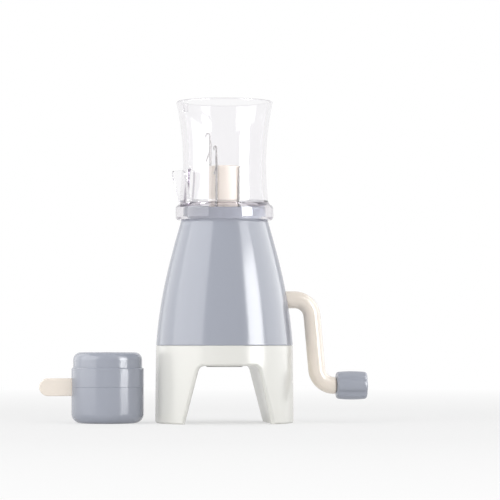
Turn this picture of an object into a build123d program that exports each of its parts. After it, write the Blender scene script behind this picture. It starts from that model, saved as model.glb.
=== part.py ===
"""Hand-cranked i-cord maker with a clear hood, four latch needles and a cord weight.

Row frame, millimetres: the needle drum turns about +Z, the feet stand on z = 0, the crank comes
out towards +X, and the arch between the two feet runs through along Y.  -Y is the front.
"""

from build123d import *
import os
from math import cos, hypot, pi, radians, sin, tan

os.makedirs("parts", exist_ok=True)

# ---------------------------------------------------------------- driving dimensions
# Heights above the floor
SEAM_HEIGHT = 40.6           # where the white base meets the grey shell
SHELL_HEIGHT = 65.7          # from the seam up to the ledge that the hood stands on
HOOD_HEIGHT = 62.4           # from that ledge to the hood's rim
CRANK_HEIGHT = 64.5
ARCH_HEIGHT = 30.1

# Base
SEAM_RADIUS = 35.9
FOOT_FLARE = 0.4             # the feet stand this much wider than the seam
FOOT_EDGE = 0.8              # bevel round the feet, where they stand on the floor
SEAM_EDGE = 0.4              # bevel of the base and rounding of the shell along the seam
PLATE_GAP = 0.4              # between the chassis plate and the base's wall
OUTLET_WALL = 2.4            # of the boss that the drum's journal turns in
OUTLET_STEP = 0.5            # the outlet is this much wider than the cord's passage
BASE_WALL = 2.4
DECK_THICKNESS = 2.5
ARCH_HALF_WIDTH_TOP = 15.0
ARCH_HALF_WIDTH_FOOT = 22.4
ARCH_CORNER = 3.5
ARCH_EDGE = 1.4              # rounding along the arch's outer edges
OUTLET_NUB = 0.8             # how far the cord outlet stands below the arch's ceiling

# Shell
LEDGE_RADIUS = 22.7          # outside of the shell at the hood's ledge
SHELL_WALL = 2.0
SHOULDER_FULLNESS = (0.34, 0.60)   # how far up the two control points of the side's curve lie
SHOULDER_RADII = (-1.7, 7.7)       # their radii: from the seam's, and from the ledge's
SPIGOT_RADIUS = 21.8         # ring that the hood's skirt slips over
SPIGOT_WALL = 2.0
SPIGOT_HEIGHT = 5.8
SPIGOT_EDGE = 0.5
TOP_DECK = 2.4
LIP_HEIGHT = 3.0             # lip under the shell that drops into the base
LIP_WALL = 1.6
LIP_GAP = 0.2
BOSS_RADIUS = 3.6
BOSS_INSET = 0.5             # from the base's wall to the boss
BOSS_HEIGHT = 24.0
BOSS_ANGLE = 25.0            # from the X axis, either side

# Hood
HOOD_WALL = 2.0
WAIST_RADIUS = 21.85
WAIST_HEIGHT = 28.7          # above the ledge
RIM_RADIUS = 25.6
COLLAR_RADIUS = 25.7
COLLAR_HEIGHT = 8.4
COLLAR_BEVEL = (0.8, 1.2)    # in and up, at the collar's foot
COLLAR_SHOULDER = (2.0, 3.0) # in and down, at the collar's top
COLLAR_BLEND = 1.6           # height of the slope from the collar to the side
FLOOR_THICKNESS = 2.3
HOOD_MOUTH_RADIUS = 12.4     # hole in the hood's floor that the needles stand in
SKIRT_GAP = 0.15             # between the hood's skirt and the shell's ring
YARN_ANGLE = 210.0           # direction of the yarn slot and its tongue, about Z from +X
YARN_SLOT_WIDTH = 6.0
YARN_SLOT_HEIGHT = 18.0
TONGUE_ROOT = (2.2, 7.5)     # thickness and width at the collar
TONGUE_TIP = (1.2, 12.0)
TONGUE_REACH = 29.6          # radius of the tongue's tip
TONGUE_HEIGHT = 16.6
TONGUE_SINK = 2.0            # how deep its root lies in the collar
TONGUE_CORNER = 2.0          # rounding of the tip's two corners
LUG_SIZE = (3.0, 4.4)        # lug inside the rim: how far it stands in from the wall's face, height
LUG_WIDTH = 2.4
LUG_ANGLE = 201.0
LUG_DROP = 6.0               # its foot below the rim

# Needle drum
CORD_BORE = 5.0              # radius of the passage that the finished cord leaves by
DRUM_RADIUS = 8.1
DRUM_STAND = 28.4            # drum's top above the hood's ledge
CARRIER_RADIUS = 12.92       # the thick part that carries the needles
JOURNAL_RADIUS = 7.0
JOURNAL_BOTTOM = 34.0
RUNNING_GAP = 0.07           # radial clearance of every turning fit
AXIAL_GAP = 0.35
DRUM_EDGE = 0.8
DRUM_STEP = (0.8, 1.0)       # step that the drum gear is pushed up against: in and down

# Needles and latches
NEEDLES = 4
FIRST_NEEDLE_ANGLE = 147.0   # about Z from +X
NEEDLE_THICKNESS = 1.2
SLOT_CLEARANCE = 0.15        # each side of a needle in its slot
STEM_DEPTH = 1.3             # radial
STEM_INSET = 7.9             # radius of the stem's inner face
STEM_BACK_GAP = 0.2          # behind a needle in its slot
NECK = (4.4, 6.0)            # where the stem starts and ends thinning, below the hook's top
BUTT_HEIGHT = 2.8
BUTT_GAP = 0.3               # from the butt's end to the cam ring's bore
HOOK_WIDTH = 3.5
HOOK_WIRE = 0.9
HOOK_DROP = 2.6              # how far the hook's point comes down
LATCH_PIVOT_DROP = 8.9       # below the hook's top
LATCH_LENGTH = 6.2           # from its rivet to the middle of its spoon
LATCH_WIDTH = 0.84
SPOON_RADIUS = 0.55
LATCH_THICKNESS = 0.36
LATCH_SLOT = 0.5
LATCH_RIVET = 0.25
LATCH_RIVET_INSET = 0.48     # from the stem's outer face
LATCH_SLOT_LENGTH = 8.4
LATCH_OPEN_ANGLE = 20.0      # from straight down, outwards

# Cam
CAM_OUTER = 19.4
TRACK_DEPTH = 3.0
CAM_FLOOR = 1.5              # wall under the track's lowest stretch
CAM_GAP = 1.0                # between the drum gear and the cam ring
CAM_SCREWS = 3
CAM_SCREWS_START = 30.0      # angle of the first, from +X
CAM_SWING = 16.7             # height swing of the sloping part of the track
CAM_OFFSET = 3.0             # of the slope's middle above the low stretch
CAM_PEAK_ANGLE = 173.0
TRACK_CLEARANCE = 0.2

# Gears
PINION_TEETH = 12
GEAR_TEETH = 24
MODULE = 1.5
TOOTH_SHARE = 0.36           # tooth's thickness as a share of the pitch
ADDENDUM = 1.2
DEDENDUM = 1.6
FLANK_ANGLE = 20.0
FACE_WIDTH = 5.0
GEAR_RISE = 2.25             # the drum gear's teeth run on this far above the pinion's pitch line
GEAR_RIM = 0.9               # and this far outside its pitch radius
GEAR_BACKING = 1.5
GEAR_BORE = 9.0

# Crank
SHAFT_RADIUS = 3.0
BUSH_WALL = 1.5
PINION_ROOM = 7.0            # from the pinion's pitch line down to the journal's boss
PILLAR_END = 26.5            # its outer face, from the drum's axis
PILLAR_WIDTH = 14.0
PILLAR_GAP = 0.8             # between the drum gear's pitch circle and the pillar
PILLAR_HEAD = 2.4            # above the bush
BUSH_RIM = (3.0, 1.2)        # wider than the shaft, and its thickness
CLIP_THICKNESS = 0.8
CLIP_RIM = 1.6
CLIP_DEPTH = 0.6             # of its groove in the shaft
SHAFT_TAIL = 1.8             # past the pinion
ARM_GAP = 2.6                # from the pillar to the arm
ARM_RADIUS = 4.5
ARM_EDGE = 0.5               # rounding of its end at the knob
ARM_BEND = 9.6
ARM_STANDOFF = 9.5           # the upper bend's corner, outside the seam's radius
ARM_SLANT = 4.0              # the lower corner lies this much farther out
CRANK_THROW = 45.0
KNOB_RADIUS = 7.7
KNOB_LENGTH = 16.0
KNOB_FLUTES = 6
KNOB_GAP = 0.4
KNOB_SPINDLE = 3.0
KNOB_EDGE = (2.0, 1.6)       # along and in, of its rounded edges
KNOB_BARREL = 0.3            # it is this much slimmer at the edges than in the middle
FLUTE_RADIUS = 5.3
FLUTE_DEPTH = 0.9
KNOB_COUNTERBORE = 1.6       # wider than the spindle
KNOB_SCREW_INSET = 3.0       # of the spindle's end, from the knob's
KNOB_SCREW_RIM = 1.2
KNOB_SCREW_HEAD = 1.6
KNOB_SCREW_LENGTH = 8.0
KNOB_SCREW_SPARE = 1.0       # its hole runs on this far past its end

# Cord weight
WEIGHT_RADIUS = 18.9
WEIGHT_HEIGHT = 37.0
WEIGHT_PARTING = 18.8
WEIGHT_NECK_STEP = 0.9       # how far the neck stands in from the side
WEIGHT_NECK_HEIGHT = 8.1
WEIGHT_WALL = 2.2
WEIGHT_RIB = 1.6             # how much thicker the side is than that
WEIGHT_CAP = 3.2             # thickness of the top
WEIGHT_FOOT_ROUND = 5.0
WEIGHT_TOP_ROUND = 4.0
WEIGHT_STEP_BEVEL = 0.5
WEIGHT_PARTING_EDGE = 0.15   # bevel of each half along the parting line
WEIGHT_GAP = 6.0             # between the weight and the foot of the base
CORD_HOLE = 3.0
BUTTON_HEIGHT = 9.3
BUTTON_DEPTH = 6.0
BUTTON_REACH = 16.8          # how far it stands out of the weight
BUTTON_TRAVEL = 6.0
BUTTON_STOP = 1.2            # height of the shoulders that keep it in
BUTTON_STOP_LENGTH = 1.5
BUTTON_STOP_GAP = 0.6
BUTTON_SLIDE_GAP = 0.15
BUTTON_EDGE = 0.7
BUTTON_OVERLAP = 1.2         # how far it reaches past the cord's hole
BUTTON_HOLE = 2.6            # radius of the cord's hole through it
BALLAST_GAP = 0.5            # above and below the button
BALLAST_SIDE_GAP = 0.2
BALLAST_HOLE_GAP = 0.4       # it is this much wider than the cord's hole
SPRING_RADIUS = 3.2
SPRING_WIRE = 0.7
SPRING_TURNS = 5

# Screws
SCREW_RADIUS = 1.3
SCREW_HEAD_RADIUS = 2.7
SCREW_HEAD_HEIGHT = 1.8
SCREW_CLEARANCE = 0.3
CAM_SCREW_RADIUS = 1.0
CAM_SCREW_HEAD = 1.9
CAM_SCREW_HEAD_HEIGHT = 1.1
CAM_SCREW_GRIP = 5.0         # in the cam ring
CAM_SCREW_HOLE = 6.0
CAM_SCREW_RIM = 0.9          # from the cam ring's edge to the screw
CAM_SCREW_DRIVE = (2.2, 0.5, 0.6)  # length, width and depth of the cross
BASE_SCREW_DRIVE = (3.4, 0.8, 1.1)
KNOB_SCREW_DRIVE = (3.6, 0.8, 1.0)
SCREW_EDGE = 0.8

# ---------------------------------------------------------------- worked-out places
FOOT_RADIUS = SEAM_RADIUS + FOOT_FLARE
LEDGE_HEIGHT = SEAM_HEIGHT + SHELL_HEIGHT
RIM_HEIGHT = LEDGE_HEIGHT + HOOD_HEIGHT
DRUM_TOP = LEDGE_HEIGHT + DRUM_STAND
DECK_TOP = ARCH_HEIGHT + DECK_THICKNESS
BASE_INSIDE = SEAM_RADIUS - BASE_WALL
TOP_DECK_UNDERSIDE = LEDGE_HEIGHT - TOP_DECK
COLLAR_TOP = LEDGE_HEIGHT + COLLAR_HEIGHT
FLOOR_BOTTOM = COLLAR_TOP - FLOOR_THICKNESS
SKIRT_INSIDE = SPIGOT_RADIUS + SKIRT_GAP
OUTLET_BOSS_RADIUS = JOURNAL_RADIUS + RUNNING_GAP + OUTLET_WALL

PINION_RADIUS = MODULE * PINION_TEETH / 2
GEAR_RADIUS = MODULE * GEAR_TEETH / 2
CONE_RATIO = (GEAR_RADIUS - FACE_WIDTH) / GEAR_RADIUS
CONE_LENGTH = hypot(PINION_RADIUS, GEAR_RADIUS)
GEAR_FACE = CRANK_HEIGHT + PINION_RADIUS          # height of the drum gear's pitch circle
GEAR_DROP = PINION_RADIUS * (1 - CONE_RATIO)
GEAR_TOP = GEAR_FACE + GEAR_RISE + GEAR_BACKING

CAM_BOTTOM = GEAR_TOP + CAM_GAP
CAM_BORE = CARRIER_RADIUS + RUNNING_GAP
TRACK_LOW = CAM_BOTTOM + CAM_FLOOR
CARRIER_TOP = TOP_DECK_UNDERSIDE - AXIAL_GAP
BUTT_LOW = TRACK_LOW + TRACK_CLEARANCE
BUTT_REACH = CAM_BORE - BUTT_GAP
SLOT_WIDTH = NEEDLE_THICKNESS + 2 * SLOT_CLEARANCE
SLOT_FLOOR = STEM_INSET - STEM_BACK_GAP

CAM_SCREW_CIRCLE = CAM_OUTER - CAM_SCREW_RADIUS - CAM_SCREW_RIM
SCREW_CIRCLE = BASE_INSIDE - BOSS_RADIUS - BOSS_INSET
BOSS_PLACES = [
    (side * SCREW_CIRCLE * cos(radians(BOSS_ANGLE)), end * SCREW_CIRCLE * sin(radians(BOSS_ANGLE)))
    for side in (-1, 1)
    for end in (-1, 1)
]


def side_curve(inset=0.0):
    """Four control points (radius, height) of the shell's side, moved in by the inset."""
    low, high = SHOULDER_FULLNESS
    return [
        (SEAM_RADIUS - inset, SEAM_HEIGHT),
        (SEAM_RADIUS + SHOULDER_RADII[0] - inset, SEAM_HEIGHT + low * SHELL_HEIGHT),
        (LEDGE_RADIUS + SHOULDER_RADII[1] - inset, SEAM_HEIGHT + high * SHELL_HEIGHT),
        (LEDGE_RADIUS - inset, LEDGE_HEIGHT),
    ]


def side_radius(height, inset=0.0):
    """Radius of the shell's side at a height, found by halving the curve's parameter."""
    points = side_curve(inset)
    low, high = 0.0, 1.0
    for _ in range(40):
        t = (low + high) / 2
        weights = ((1 - t) ** 3, 3 * t * (1 - t) ** 2, 3 * t * t * (1 - t), t ** 3)
        if sum(w * p[1] for w, p in zip(weights, points)) < height:
            low = t
        else:
            high = t
    return sum(w * p[0] for w, p in zip(weights, points))


def radial_plane(angle, height=0.0):
    """Plane through the Z axis: its x runs outwards at the angle, its y runs up."""
    out = (cos(radians(angle)), sin(radians(angle)), 0)
    across = (sin(radians(angle)), -cos(radians(angle)), 0)
    return Plane(origin=(0, 0, height), x_dir=out, z_dir=across)


def save(builder, name):
    """Label a finished piece and write its file."""
    builder.part.label = name
    export_step(builder.part, f"parts/{name}.step")


# ---------------------------------------------------------------- base with its two feet
with BuildPart() as leg_pockets:
    with BuildSketch(Plane.XY):
        Circle(BASE_INSIDE)
    extrude(amount=ARCH_HEIGHT)
    with BuildSketch(Plane.XZ):
        with BuildLine():
            Polyline(
                (-ARCH_HALF_WIDTH_FOOT - BASE_WALL, 0),
                (-ARCH_HALF_WIDTH_TOP - BASE_WALL, ARCH_HEIGHT),
                (ARCH_HALF_WIDTH_TOP + BASE_WALL, ARCH_HEIGHT),
                (ARCH_HALF_WIDTH_FOOT + BASE_WALL, 0),
                close=True,
            )
        make_face()
    extrude(amount=2 * FOOT_RADIUS, both=True, mode=Mode.SUBTRACT)

with BuildPart() as base:
    with BuildSketch(Plane.XZ):
        with BuildLine():
            Polyline(
                (0, 0),
                (FOOT_RADIUS, 0),
                (SEAM_RADIUS, SEAM_HEIGHT - SEAM_EDGE),
                (SEAM_RADIUS - SEAM_EDGE, SEAM_HEIGHT),
                (0, SEAM_HEIGHT),
                close=True,
            )
        make_face()
    revolve(axis=Axis.Z)
    with BuildSketch(Plane.XY.offset(DECK_TOP)):
        Circle(BASE_INSIDE)
    extrude(amount=SEAM_HEIGHT - DECK_TOP, mode=Mode.SUBTRACT)
    with BuildSketch(Plane.XZ) as arch:
        with BuildLine():
            Polyline(
                (-ARCH_HALF_WIDTH_FOOT, 0),
                (-ARCH_HALF_WIDTH_TOP, ARCH_HEIGHT),
                (ARCH_HALF_WIDTH_TOP, ARCH_HEIGHT),
                (ARCH_HALF_WIDTH_FOOT, 0),
                close=True,
            )
        make_face()
        fillet(arch.vertices().group_by(Axis.Y)[-1], radius=ARCH_CORNER)
    extrude(amount=2 * FOOT_RADIUS, both=True, mode=Mode.SUBTRACT)
    arch_edges = base.edges().filter_by(
        lambda edge: hypot(edge.center().X, edge.center().Y) > BASE_INSIDE
        and abs(edge.center().X) < ARCH_HALF_WIDTH_FOOT
        and ARCH_EDGE / 2 < edge.center().Z < ARCH_HEIGHT + ARCH_EDGE
    )
    fillet(arch_edges, radius=ARCH_EDGE)
    with BuildSketch(Plane.XZ):
        with BuildLine():
            Polyline(
                (FOOT_RADIUS - FOOT_EDGE, 0),
                (FOOT_RADIUS + FOOT_EDGE, 0),
                (FOOT_RADIUS + FOOT_EDGE, 2 * FOOT_EDGE),
                close=True,
            )
        make_face()
    revolve(axis=Axis.Z, mode=Mode.SUBTRACT)
    add(leg_pockets.part, mode=Mode.SUBTRACT)
    with Locations((0, 0, DECK_TOP)):
        Hole(OUTLET_BOSS_RADIUS + SCREW_CLEARANCE)
    with Locations([(x, y, DECK_TOP) for x, y in BOSS_PLACES]):
        Hole(SCREW_RADIUS + SCREW_CLEARANCE)
save(base, "base")

# ---------------------------------------------------------------- chassis inside the body
CHASSIS_TOP = DECK_TOP + DECK_THICKNESS
BOSS_TOP = CRANK_HEIGHT - PINION_RADIUS - PINION_ROOM
PILLAR_START = GEAR_RADIUS + PILLAR_GAP
PILLAR_LENGTH = PILLAR_END - PILLAR_START
PILLAR_TOP = CRANK_HEIGHT + SHAFT_RADIUS + BUSH_WALL + PILLAR_HEAD
with BuildPart() as chassis:
    with BuildSketch(Plane.XY.offset(DECK_TOP)):
        Circle(BASE_INSIDE - PLATE_GAP)
    extrude(amount=DECK_THICKNESS)
    with BuildSketch(Plane.XY.offset(ARCH_HEIGHT - OUTLET_NUB)):
        Circle(OUTLET_BOSS_RADIUS)
    extrude(amount=BOSS_TOP - ARCH_HEIGHT + OUTLET_NUB)
    with BuildSketch(Plane.XY.offset(CHASSIS_TOP)):
        with Locations((PILLAR_START + PILLAR_LENGTH / 2, 0)):
            Rectangle(PILLAR_LENGTH, PILLAR_WIDTH)
    extrude(amount=PILLAR_TOP - CHASSIS_TOP)
    with Locations((0, 0, ARCH_HEIGHT - OUTLET_NUB)):
        Cylinder(CORD_BORE + OUTLET_STEP, JOURNAL_BOTTOM, align=(Align.CENTER, Align.CENTER, Align.MIN),
                 mode=Mode.SUBTRACT)
    with Locations((0, 0, JOURNAL_BOTTOM - AXIAL_GAP)):
        Cylinder(JOURNAL_RADIUS + RUNNING_GAP, CRANK_HEIGHT, mode=Mode.SUBTRACT,
                 align=(Align.CENTER, Align.CENTER, Align.MIN))
    with BuildSketch(Plane.YZ.offset(PILLAR_START)):
        with Locations((0, CRANK_HEIGHT)):
            Circle(SHAFT_RADIUS + RUNNING_GAP + BUSH_WALL)
    extrude(amount=PILLAR_LENGTH, mode=Mode.SUBTRACT)
    with Locations([(x, y, CHASSIS_TOP) for x, y in BOSS_PLACES]):
        Hole(SCREW_RADIUS + SCREW_CLEARANCE)
save(chassis, "chassis")

# ---------------------------------------------------------------- upper shell
CRANK_HOLE = ARM_RADIUS + 0.5
LIP_RADIUS = BASE_INSIDE - LIP_GAP
with BuildPart() as upper_shell:
    outside, inside = side_curve(), side_curve(SHELL_WALL)
    with BuildSketch(Plane.XZ) as shell_section:
        with BuildLine():
            Bezier(*outside)
            Polyline(
                outside[-1],
                (SPIGOT_RADIUS, LEDGE_HEIGHT),
                (SPIGOT_RADIUS, LEDGE_HEIGHT + SPIGOT_HEIGHT),
                (SPIGOT_RADIUS - SPIGOT_WALL, LEDGE_HEIGHT + SPIGOT_HEIGHT),
                (SPIGOT_RADIUS - SPIGOT_WALL, LEDGE_HEIGHT),
                inside[-1],
            )
            Bezier(*inside)
            Line(inside[0], outside[0])
        make_face()
        fillet(shell_section.vertices().sort_by_distance(outside[0])[0], radius=SEAM_EDGE)
        spigot_top = shell_section.vertices().group_by(Axis.Y)[-1]
        fillet(spigot_top.sort_by(Axis.X)[-1], radius=SPIGOT_EDGE)
    revolve(axis=Axis.Z)
    with BuildSketch(Plane.XY.offset(TOP_DECK_UNDERSIDE)):
        Circle(side_radius(TOP_DECK_UNDERSIDE, SHELL_WALL / 2))
        Circle(HOOD_MOUTH_RADIUS, mode=Mode.SUBTRACT)
    extrude(amount=TOP_DECK)
    with BuildSketch(Plane.XY.offset(SEAM_HEIGHT - LIP_HEIGHT)):
        Circle(LIP_RADIUS)
        Circle(LIP_RADIUS - LIP_WALL, mode=Mode.SUBTRACT)
    extrude(amount=LIP_HEIGHT)
    with BuildSketch(Plane.XY.offset(SEAM_HEIGHT)):
        Circle(SEAM_RADIUS - SHELL_WALL / 2)
        Circle(LIP_RADIUS - LIP_WALL, mode=Mode.SUBTRACT)
    extrude(amount=LIP_WALL)
    with BuildSketch(Plane.XY.offset(CHASSIS_TOP)):
        with Locations(BOSS_PLACES):
            Circle(BOSS_RADIUS)
    extrude(amount=BOSS_HEIGHT)
    with BuildSketch(Plane.XY.offset(CHASSIS_TOP)):
        with Locations(BOSS_PLACES):
            Circle(SCREW_RADIUS)
    extrude(amount=BOSS_HEIGHT / 2, mode=Mode.SUBTRACT)
    with BuildSketch(Plane.YZ):
        with Locations((0, CRANK_HEIGHT)):
            Circle(CRANK_HOLE)
    extrude(amount=2 * SEAM_RADIUS, mode=Mode.SUBTRACT)
    with Locations((0, 0, LEDGE_HEIGHT)):
        with PolarLocations(CAM_SCREW_CIRCLE, CAM_SCREWS, start_angle=CAM_SCREWS_START):
            Hole(CAM_SCREW_RADIUS + SCREW_CLEARANCE / 3, depth=TOP_DECK)
save(upper_shell, "upper_shell")

# ---------------------------------------------------------------- clear hood with its yarn tongue
HOOD_BOW = ((RIM_RADIUS - WAIST_RADIUS) ** 2 + (HOOD_HEIGHT - WAIST_HEIGHT) ** 2) / (
    2 * (RIM_RADIUS - WAIST_RADIUS))


def hood_radius(height, inset=0.0):
    """Radius of the hood's waisted side at a height above the ledge."""
    rise = height - WAIST_HEIGHT
    return WAIST_RADIUS - inset + HOOD_BOW - (HOOD_BOW ** 2 - rise ** 2) ** 0.5


with BuildPart() as hood:
    side_foot = COLLAR_HEIGHT + COLLAR_BLEND
    bevel_in, bevel_up = COLLAR_BEVEL
    shoulder_in, shoulder_down = COLLAR_SHOULDER
    with BuildSketch(Plane.XZ):
        with BuildLine():
            Polyline(
                (SKIRT_INSIDE, LEDGE_HEIGHT),
                (COLLAR_RADIUS - bevel_in, LEDGE_HEIGHT),
                (COLLAR_RADIUS, LEDGE_HEIGHT + bevel_up),
                (COLLAR_RADIUS, COLLAR_TOP - shoulder_down),
            )
            ThreePointArc(
                (COLLAR_RADIUS, COLLAR_TOP - shoulder_down),
                (COLLAR_RADIUS - shoulder_in / 3, COLLAR_TOP - shoulder_down / 3),
                (COLLAR_RADIUS - shoulder_in, COLLAR_TOP),
            )
            Line(
                (COLLAR_RADIUS - shoulder_in, COLLAR_TOP),
                (hood_radius(side_foot), LEDGE_HEIGHT + side_foot),
            )
            ThreePointArc(
                (hood_radius(side_foot), LEDGE_HEIGHT + side_foot),
                (WAIST_RADIUS, LEDGE_HEIGHT + WAIST_HEIGHT),
                (RIM_RADIUS, RIM_HEIGHT),
            )
            Line((RIM_RADIUS, RIM_HEIGHT), (RIM_RADIUS - HOOD_WALL, RIM_HEIGHT))
            ThreePointArc(
                (RIM_RADIUS - HOOD_WALL, RIM_HEIGHT),
                (WAIST_RADIUS - HOOD_WALL, LEDGE_HEIGHT + WAIST_HEIGHT),
                (hood_radius(COLLAR_HEIGHT, HOOD_WALL), COLLAR_TOP),
            )
            Polyline(
                (hood_radius(COLLAR_HEIGHT, HOOD_WALL), COLLAR_TOP),
                (HOOD_MOUTH_RADIUS, COLLAR_TOP),
                (HOOD_MOUTH_RADIUS, FLOOR_BOTTOM),
                (SKIRT_INSIDE, FLOOR_BOTTOM),
                (SKIRT_INSIDE, LEDGE_HEIGHT),
            )
        make_face()
    revolve(axis=Axis.Z)
    fillet(hood.edges().group_by(Axis.Z)[-1], radius=HOOD_WALL * 0.4)
    # yarn slot, rounded at its top
    with BuildSketch(radial_plane(YARN_ANGLE + 90)) as slot:
        with Locations((0, COLLAR_TOP)):
            Rectangle(YARN_SLOT_WIDTH, YARN_SLOT_HEIGHT, align=(Align.CENTER, Align.MIN))
        fillet(slot.vertices().group_by(Axis.Y)[-1], radius=YARN_SLOT_WIDTH * 0.46)
    extrude(amount=COLLAR_RADIUS, mode=Mode.SUBTRACT)
    # yarn tongue, leaning out from the collar
    turn = radians(YARN_ANGLE)
    root_radius = COLLAR_RADIUS - TONGUE_ROOT[0] / 2 - SKIRT_GAP
    tip_radius = TONGUE_REACH - TONGUE_TIP[0] / 2
    for radius, height, size in (
        (root_radius, COLLAR_TOP - TONGUE_SINK, TONGUE_ROOT),
        (tip_radius, COLLAR_TOP + TONGUE_HEIGHT, TONGUE_TIP),
    ):
        with BuildSketch(Plane(origin=(radius * cos(turn), radius * sin(turn), height),
                               x_dir=(cos(turn), sin(turn), 0), z_dir=(0, 0, 1))):
            Rectangle(*size)
    loft()
    tip_corners = hood.edges().filter_by(
        lambda edge: abs(edge.center().Z - COLLAR_TOP - TONGUE_HEIGHT) < TONGUE_TIP[0] / 2
        and hypot(edge.center().X, edge.center().Y) > COLLAR_RADIUS
        and edge.length < TONGUE_TIP[1] / 2
    )
    fillet(tip_corners, radius=TONGUE_CORNER)
    # lug inside the rim that keeps the yarn from riding over it
    lug_height = RIM_HEIGHT - LUG_DROP
    lug_radius = hood_radius(lug_height - LEDGE_HEIGHT, HOOD_WALL)
    with BuildSketch(radial_plane(LUG_ANGLE)):
        with Locations((lug_radius, lug_height)):
            Rectangle(*LUG_SIZE, align=(Align.CENTER, Align.MIN))
    extrude(amount=LUG_WIDTH / 2, both=True)
save(hood, "hood")

# ---------------------------------------------------------------- cam ring with its closed track
slope = CAM_SWING / (CAM_BORE + TRACK_DEPTH / 2)
peak = radians(CAM_PEAK_ANGLE)
slope_normal = (-slope * cos(peak), -slope * sin(peak), 1)


def track_side(lift):
    """The ring-shaped room above one side of the track, lifted by a height."""
    with BuildPart() as room:
        with BuildSketch(Plane.XY.offset(TRACK_LOW + lift)):
            Circle(CAM_BORE + TRACK_DEPTH)
            Circle(CAM_BORE - TRACK_DEPTH / 2, mode=Mode.SUBTRACT)
        extrude(amount=2 * (CAM_OFFSET + CAM_SWING))
        split(bisect_by=Plane(origin=(0, 0, TRACK_LOW + CAM_OFFSET + lift), z_dir=slope_normal),
              keep=Keep.TOP)
    return room.part


with BuildPart() as cam_track:
    add(track_side(0.0))
    add(track_side(BUTT_HEIGHT + 2 * TRACK_CLEARANCE), mode=Mode.SUBTRACT)
with BuildPart() as cam_ring:
    with BuildSketch(Plane.XY.offset(CAM_BOTTOM)):
        Circle(CAM_OUTER)
        Circle(CAM_BORE, mode=Mode.SUBTRACT)
    extrude(amount=TOP_DECK_UNDERSIDE - CAM_BOTTOM)
    add(cam_track.part, mode=Mode.SUBTRACT)
    with Locations((0, 0, TOP_DECK_UNDERSIDE)):
        with PolarLocations(CAM_SCREW_CIRCLE, CAM_SCREWS, start_angle=CAM_SCREWS_START):
            Hole(CAM_SCREW_RADIUS, depth=CAM_SCREW_HOLE)
save(cam_ring, "cam_ring")

with BuildPart() as cam_screws:
    with BuildSketch(Plane.XY.offset(LEDGE_HEIGHT)):
        with PolarLocations(CAM_SCREW_CIRCLE, CAM_SCREWS, start_angle=CAM_SCREWS_START):
            Circle(CAM_SCREW_HEAD)
    extrude(amount=CAM_SCREW_HEAD_HEIGHT)
    with BuildSketch(Plane.XY.offset(LEDGE_HEIGHT)):
        with PolarLocations(CAM_SCREW_CIRCLE, CAM_SCREWS, start_angle=CAM_SCREWS_START):
            Circle(CAM_SCREW_RADIUS)
    extrude(amount=-TOP_DECK - CAM_SCREW_GRIP)
    drive_length, drive_width, drive_depth = CAM_SCREW_DRIVE
    with BuildSketch(Plane.XY.offset(LEDGE_HEIGHT + CAM_SCREW_HEAD_HEIGHT)):
        with PolarLocations(CAM_SCREW_CIRCLE, CAM_SCREWS, start_angle=CAM_SCREWS_START):
            Rectangle(drive_length, drive_width)
            Rectangle(drive_width, drive_length)
    extrude(amount=-drive_depth, mode=Mode.SUBTRACT)
save(cam_screws, "cam_screws")

# ---------------------------------------------------------------- needle drum
with BuildPart() as needle_drum:
    neck_radius = GEAR_BORE - DRUM_STEP[0]
    step_height = GEAR_FACE - GEAR_DROP - DRUM_STEP[1]
    with BuildSketch(Plane.XZ):
        with BuildLine():
            Polyline(
                (CORD_BORE, JOURNAL_BOTTOM),
                (JOURNAL_RADIUS, JOURNAL_BOTTOM),
                (JOURNAL_RADIUS, BOSS_TOP + AXIAL_GAP / 2),
                (neck_radius, BOSS_TOP + AXIAL_GAP / 2),
                (neck_radius, step_height),
                (GEAR_BORE, step_height),
                (GEAR_BORE, GEAR_TOP),
                (CARRIER_RADIUS, GEAR_TOP),
                (CARRIER_RADIUS, CARRIER_TOP),
                (DRUM_RADIUS, CARRIER_TOP),
                (DRUM_RADIUS, DRUM_TOP),
                (CORD_BORE, DRUM_TOP),
                close=True,
            )
        make_face()
    revolve(axis=Axis.Z)
    fillet(needle_drum.edges().group_by(Axis.Z)[-1], radius=DRUM_EDGE)
    for number in range(NEEDLES):
        with BuildSketch(radial_plane(FIRST_NEEDLE_ANGLE + number * 360 / NEEDLES)):
            with Locations((SLOT_FLOOR, TRACK_LOW - TRACK_CLEARANCE)):
                Rectangle(CARRIER_RADIUS, DRUM_TOP, align=(Align.MIN, Align.MIN))
        extrude(amount=SLOT_WIDTH / 2, both=True, mode=Mode.SUBTRACT)
save(needle_drum, "needle_drum")


# ---------------------------------------------------------------- bevel gears
CRANK_AXIS = Plane(origin=(0, 0, CRANK_HEIGHT), x_dir=(0, 1, 0), z_dir=(1, 0, 0))


def bevel_outline(teeth, pitch_radius, cone_radius, first_angle):
    """Corner points of a bevel gear's section square to its axis, at the wide end.

    The tooth's height is measured square to the pitch cone, so it grows by the cone's slant here.
    """
    slant = CONE_LENGTH / cone_radius
    pitch_angle = 360 / teeth
    half_tooth = MODULE * pi * TOOTH_SHARE / 2
    points = []
    for tooth in range(teeth):
        middle = first_angle + tooth * pitch_angle
        for side, depth in ((-1, -DEDENDUM), (-1, ADDENDUM), (1, ADDENDUM), (1, -DEDENDUM)):
            half = half_tooth - depth * tan(radians(FLANK_ANGLE))
            turn = radians(middle) + side * half / pitch_radius
            radius = pitch_radius + depth * slant
            points.append((radius * cos(turn), radius * sin(turn)))
    return points


def bevel_loft(apex, near, far, cone_height, outline):
    """Fill a bevel gear's toothed cone between two distances along its axis from the apex plane.

    Every edge of the teeth runs to the apex, so a section's size goes with its distance from it.
    """
    with BuildPart() as body:
        for distance in (near, far):
            share = distance / cone_height
            with BuildSketch(apex.offset(distance)):
                with BuildLine():
                    Polyline(*[(x * share, y * share) for x, y in outline], close=True)
                make_face()
        loft(ruled=True)
    return body.part


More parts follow.
